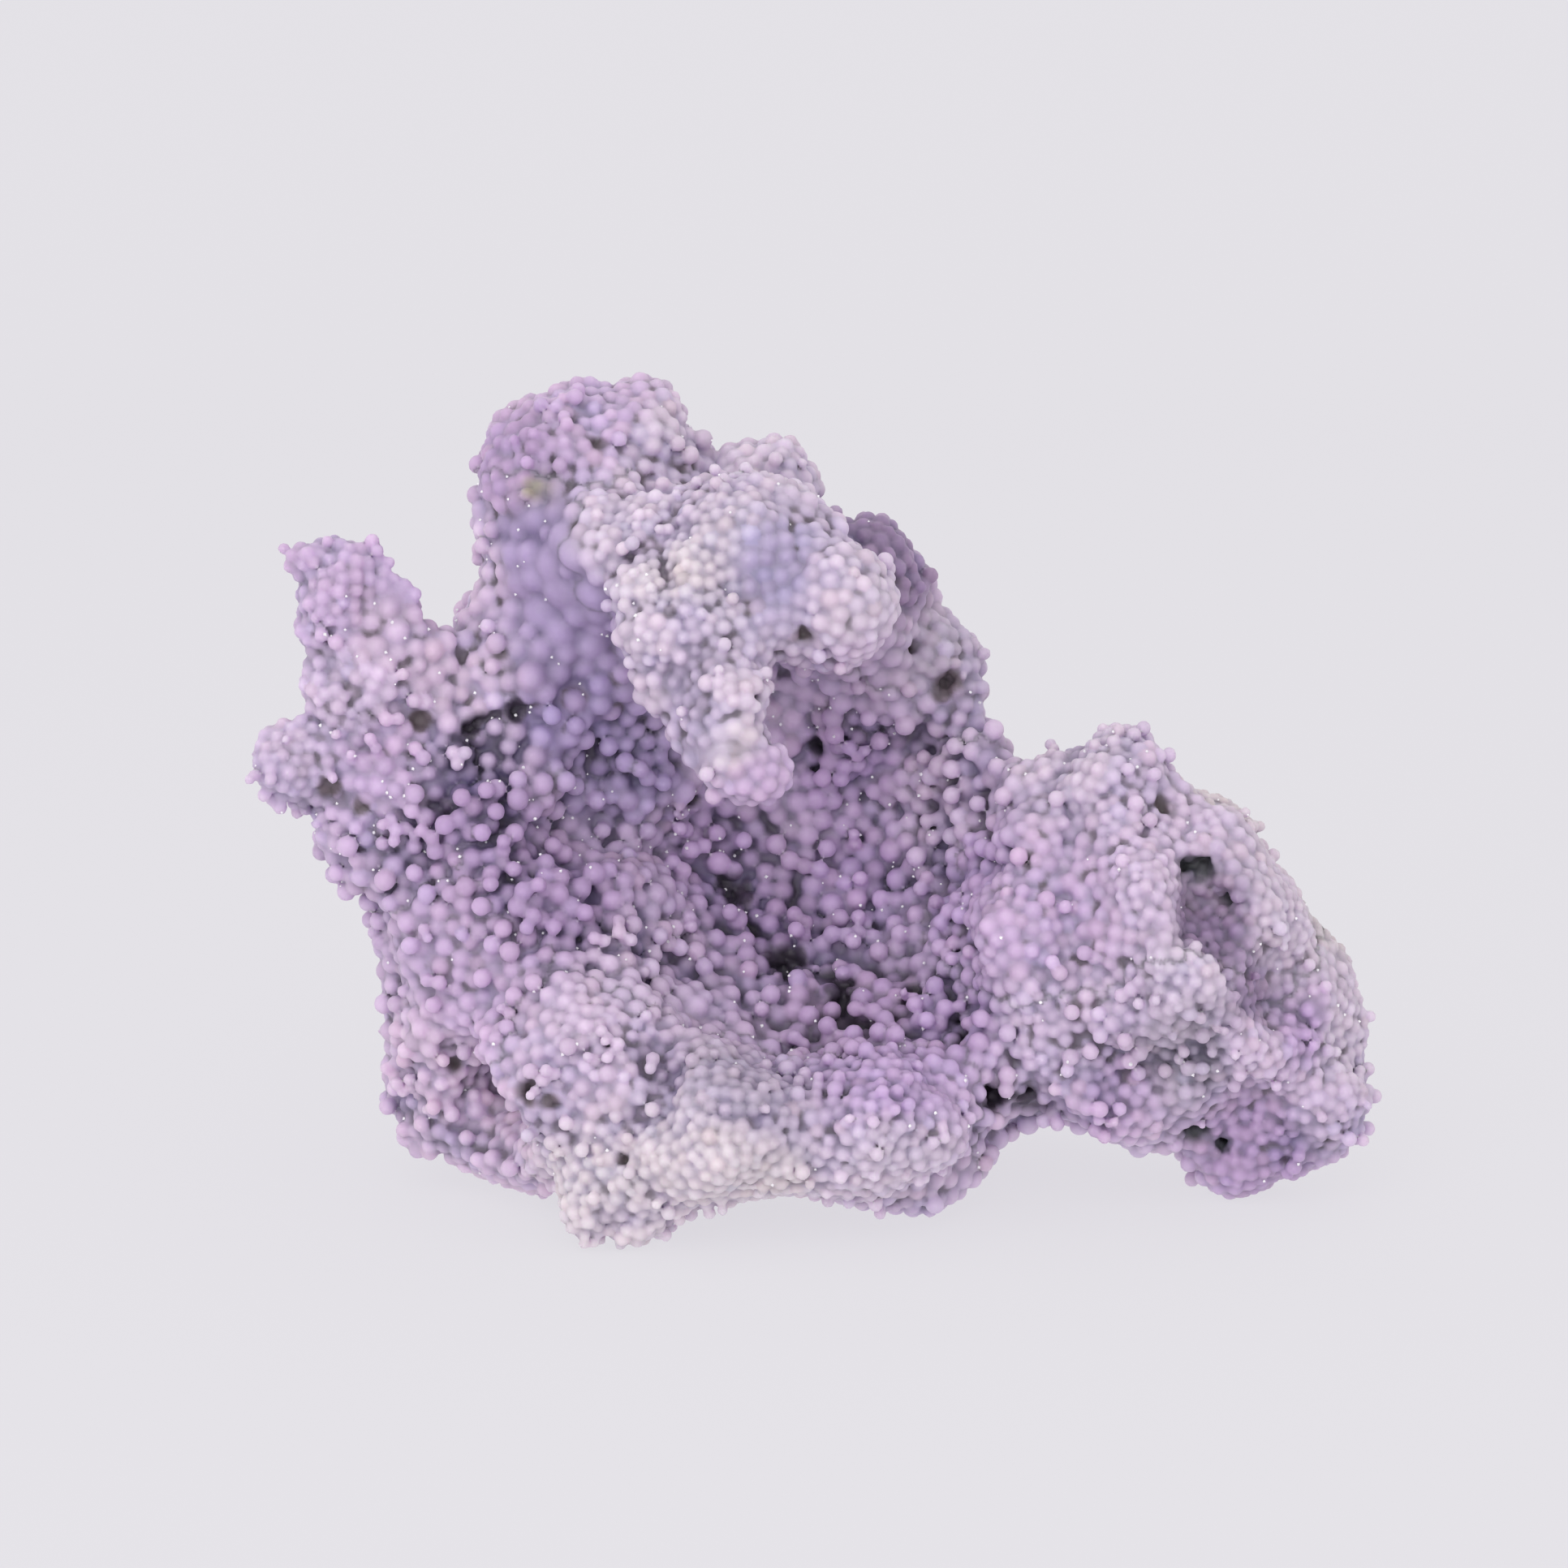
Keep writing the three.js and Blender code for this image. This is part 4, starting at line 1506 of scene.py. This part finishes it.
@dataclass
class Studio:
    """The pale sweep, the soft light and the camera at the photograph's angle.

    Args:
        aim: the point that the camera looks at.
        distance: from the camera to that point.
        elevation: the camera's height over the table, in degrees.
        lens: the lens's focal length.
        sensor: the width of its sensor.
        room: how bright the room's even light is.
        key: where the soft light hangs.
        key_side: the length of its side.
        key_watts: its power.
    """

    aim: Place = (-3.1, -5.2, 44.8)
    distance: float = 500.0
    elevation: float = 12.0
    lens: float = 109.47
    sensor: float = 36.0
    room: float = 0.8
    key: Place = (-180.0, -640.0, 360.0)
    key_side: float = 700.0
    key_watts: float = 2.4

    def build(self) -> None:
        """Builds the sweep, the lights and the camera."""
        self.sweep()
        self.lights()
        self.camera()

    def sweep(self) -> bpy.types.Object:
        """Returns the table, which curves up into the backdrop behind the specimen."""
        front, turn, radius, height, half = -2400.0, 600.0, 200.0, 1200.0, 2400.0
        profile = [(front, 0.0), (turn, 0.0)]
        steps = 12
        for step in range(1, steps + 1):
            angle = math.pi / 2.0 * step / steps
            profile.append((turn + radius * math.sin(angle), radius * (1.0 - math.cos(angle))))
        profile.append((turn + radius, height))
        points = np.array([(x, y, z) for y, z in profile for x in (-half, half)])
        rows = np.arange(len(profile) - 1)[:, None] * 2
        made = place("sweep", mesh_of("sweep", points, rows + np.array([0, 1, 3, 2])))
        paper = bpy.data.materials.new("pale_sweep")
        paper.use_nodes = True
        shader = paper.node_tree.nodes["Principled BSDF"]
        shader.inputs["Base Color"].default_value = (0.12, 0.118, 0.122, 1.0)
        shader.inputs["Roughness"].default_value = 0.9
        shader.inputs["Specular IOR Level"].default_value = 0.0
        shader.inputs["Emission Color"].default_value = (0.775, 0.76, 0.8, 1.0)
        shader.inputs["Emission Strength"].default_value = 0.86
        made.data.materials.append(paper)
        return made

    def lights(self) -> None:
        """Adds the even light of the room and a large soft light above the viewer's left."""
        world = bpy.data.worlds.new("room")
        bpy.context.scene.world = world
        world.use_nodes = True
        room = world.node_tree.nodes["Background"]
        room.inputs["Color"].default_value = (1.0, 0.99, 0.99, 1.0)
        room.inputs["Strength"].default_value = self.room
        light = bpy.data.lights.new("key", "AREA")
        light.size = self.key_side * MM
        light.energy = self.key_watts
        made = bpy.data.objects.new("key", light)
        made.location = Vector(self.key) * MM
        specimen = Vector((0.0, -5.0, 40.0))
        way = (specimen - Vector(self.key)).normalized()
        made.rotation_euler = way.to_track_quat("-Z", "Y").to_euler()
        bpy.context.scene.collection.objects.link(made)

    def camera(self) -> None:
        """Adds the camera at the photograph's viewing angle."""
        data = bpy.data.cameras.new("view")
        data.lens = self.lens
        data.sensor_width = self.sensor
        data.clip_start = 0.01
        data.clip_end = 10.0
        made = bpy.data.objects.new("view", data)
        rise = math.radians(self.elevation)
        back = Vector((0.0, -math.cos(rise), math.sin(rise))) * self.distance
        made.location = (Vector(self.aim) + back) * MM
        made.rotation_euler = (math.radians(90.0) - rise, 0.0, 0.0)
        bpy.context.scene.collection.objects.link(made)
        bpy.context.scene.camera = made
        bpy.context.scene.view_settings.view_transform = "Standard"


def main() -> None:
    """Builds the scene's parts in order and reports each piece."""
    logging.basicConfig(level=logging.INFO, format="%(name)s: %(message)s")
    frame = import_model()
    Studio().build()
    crust = Crust()
    crust.grow(frame["nodes"][NODE])
    pieces = [patch.build(crust, number) for number, patch in enumerate(crust.patches)]
    pieces.append(Glints().build(pieces))
    for piece in pieces:
        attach(piece, "root")
        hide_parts(NODE)
        LOG.info("%s: %d triangles", piece.name, sum(len(side.vertices) - 2 for side in piece.data.polygons))


if __name__ == "__main__":
    main()
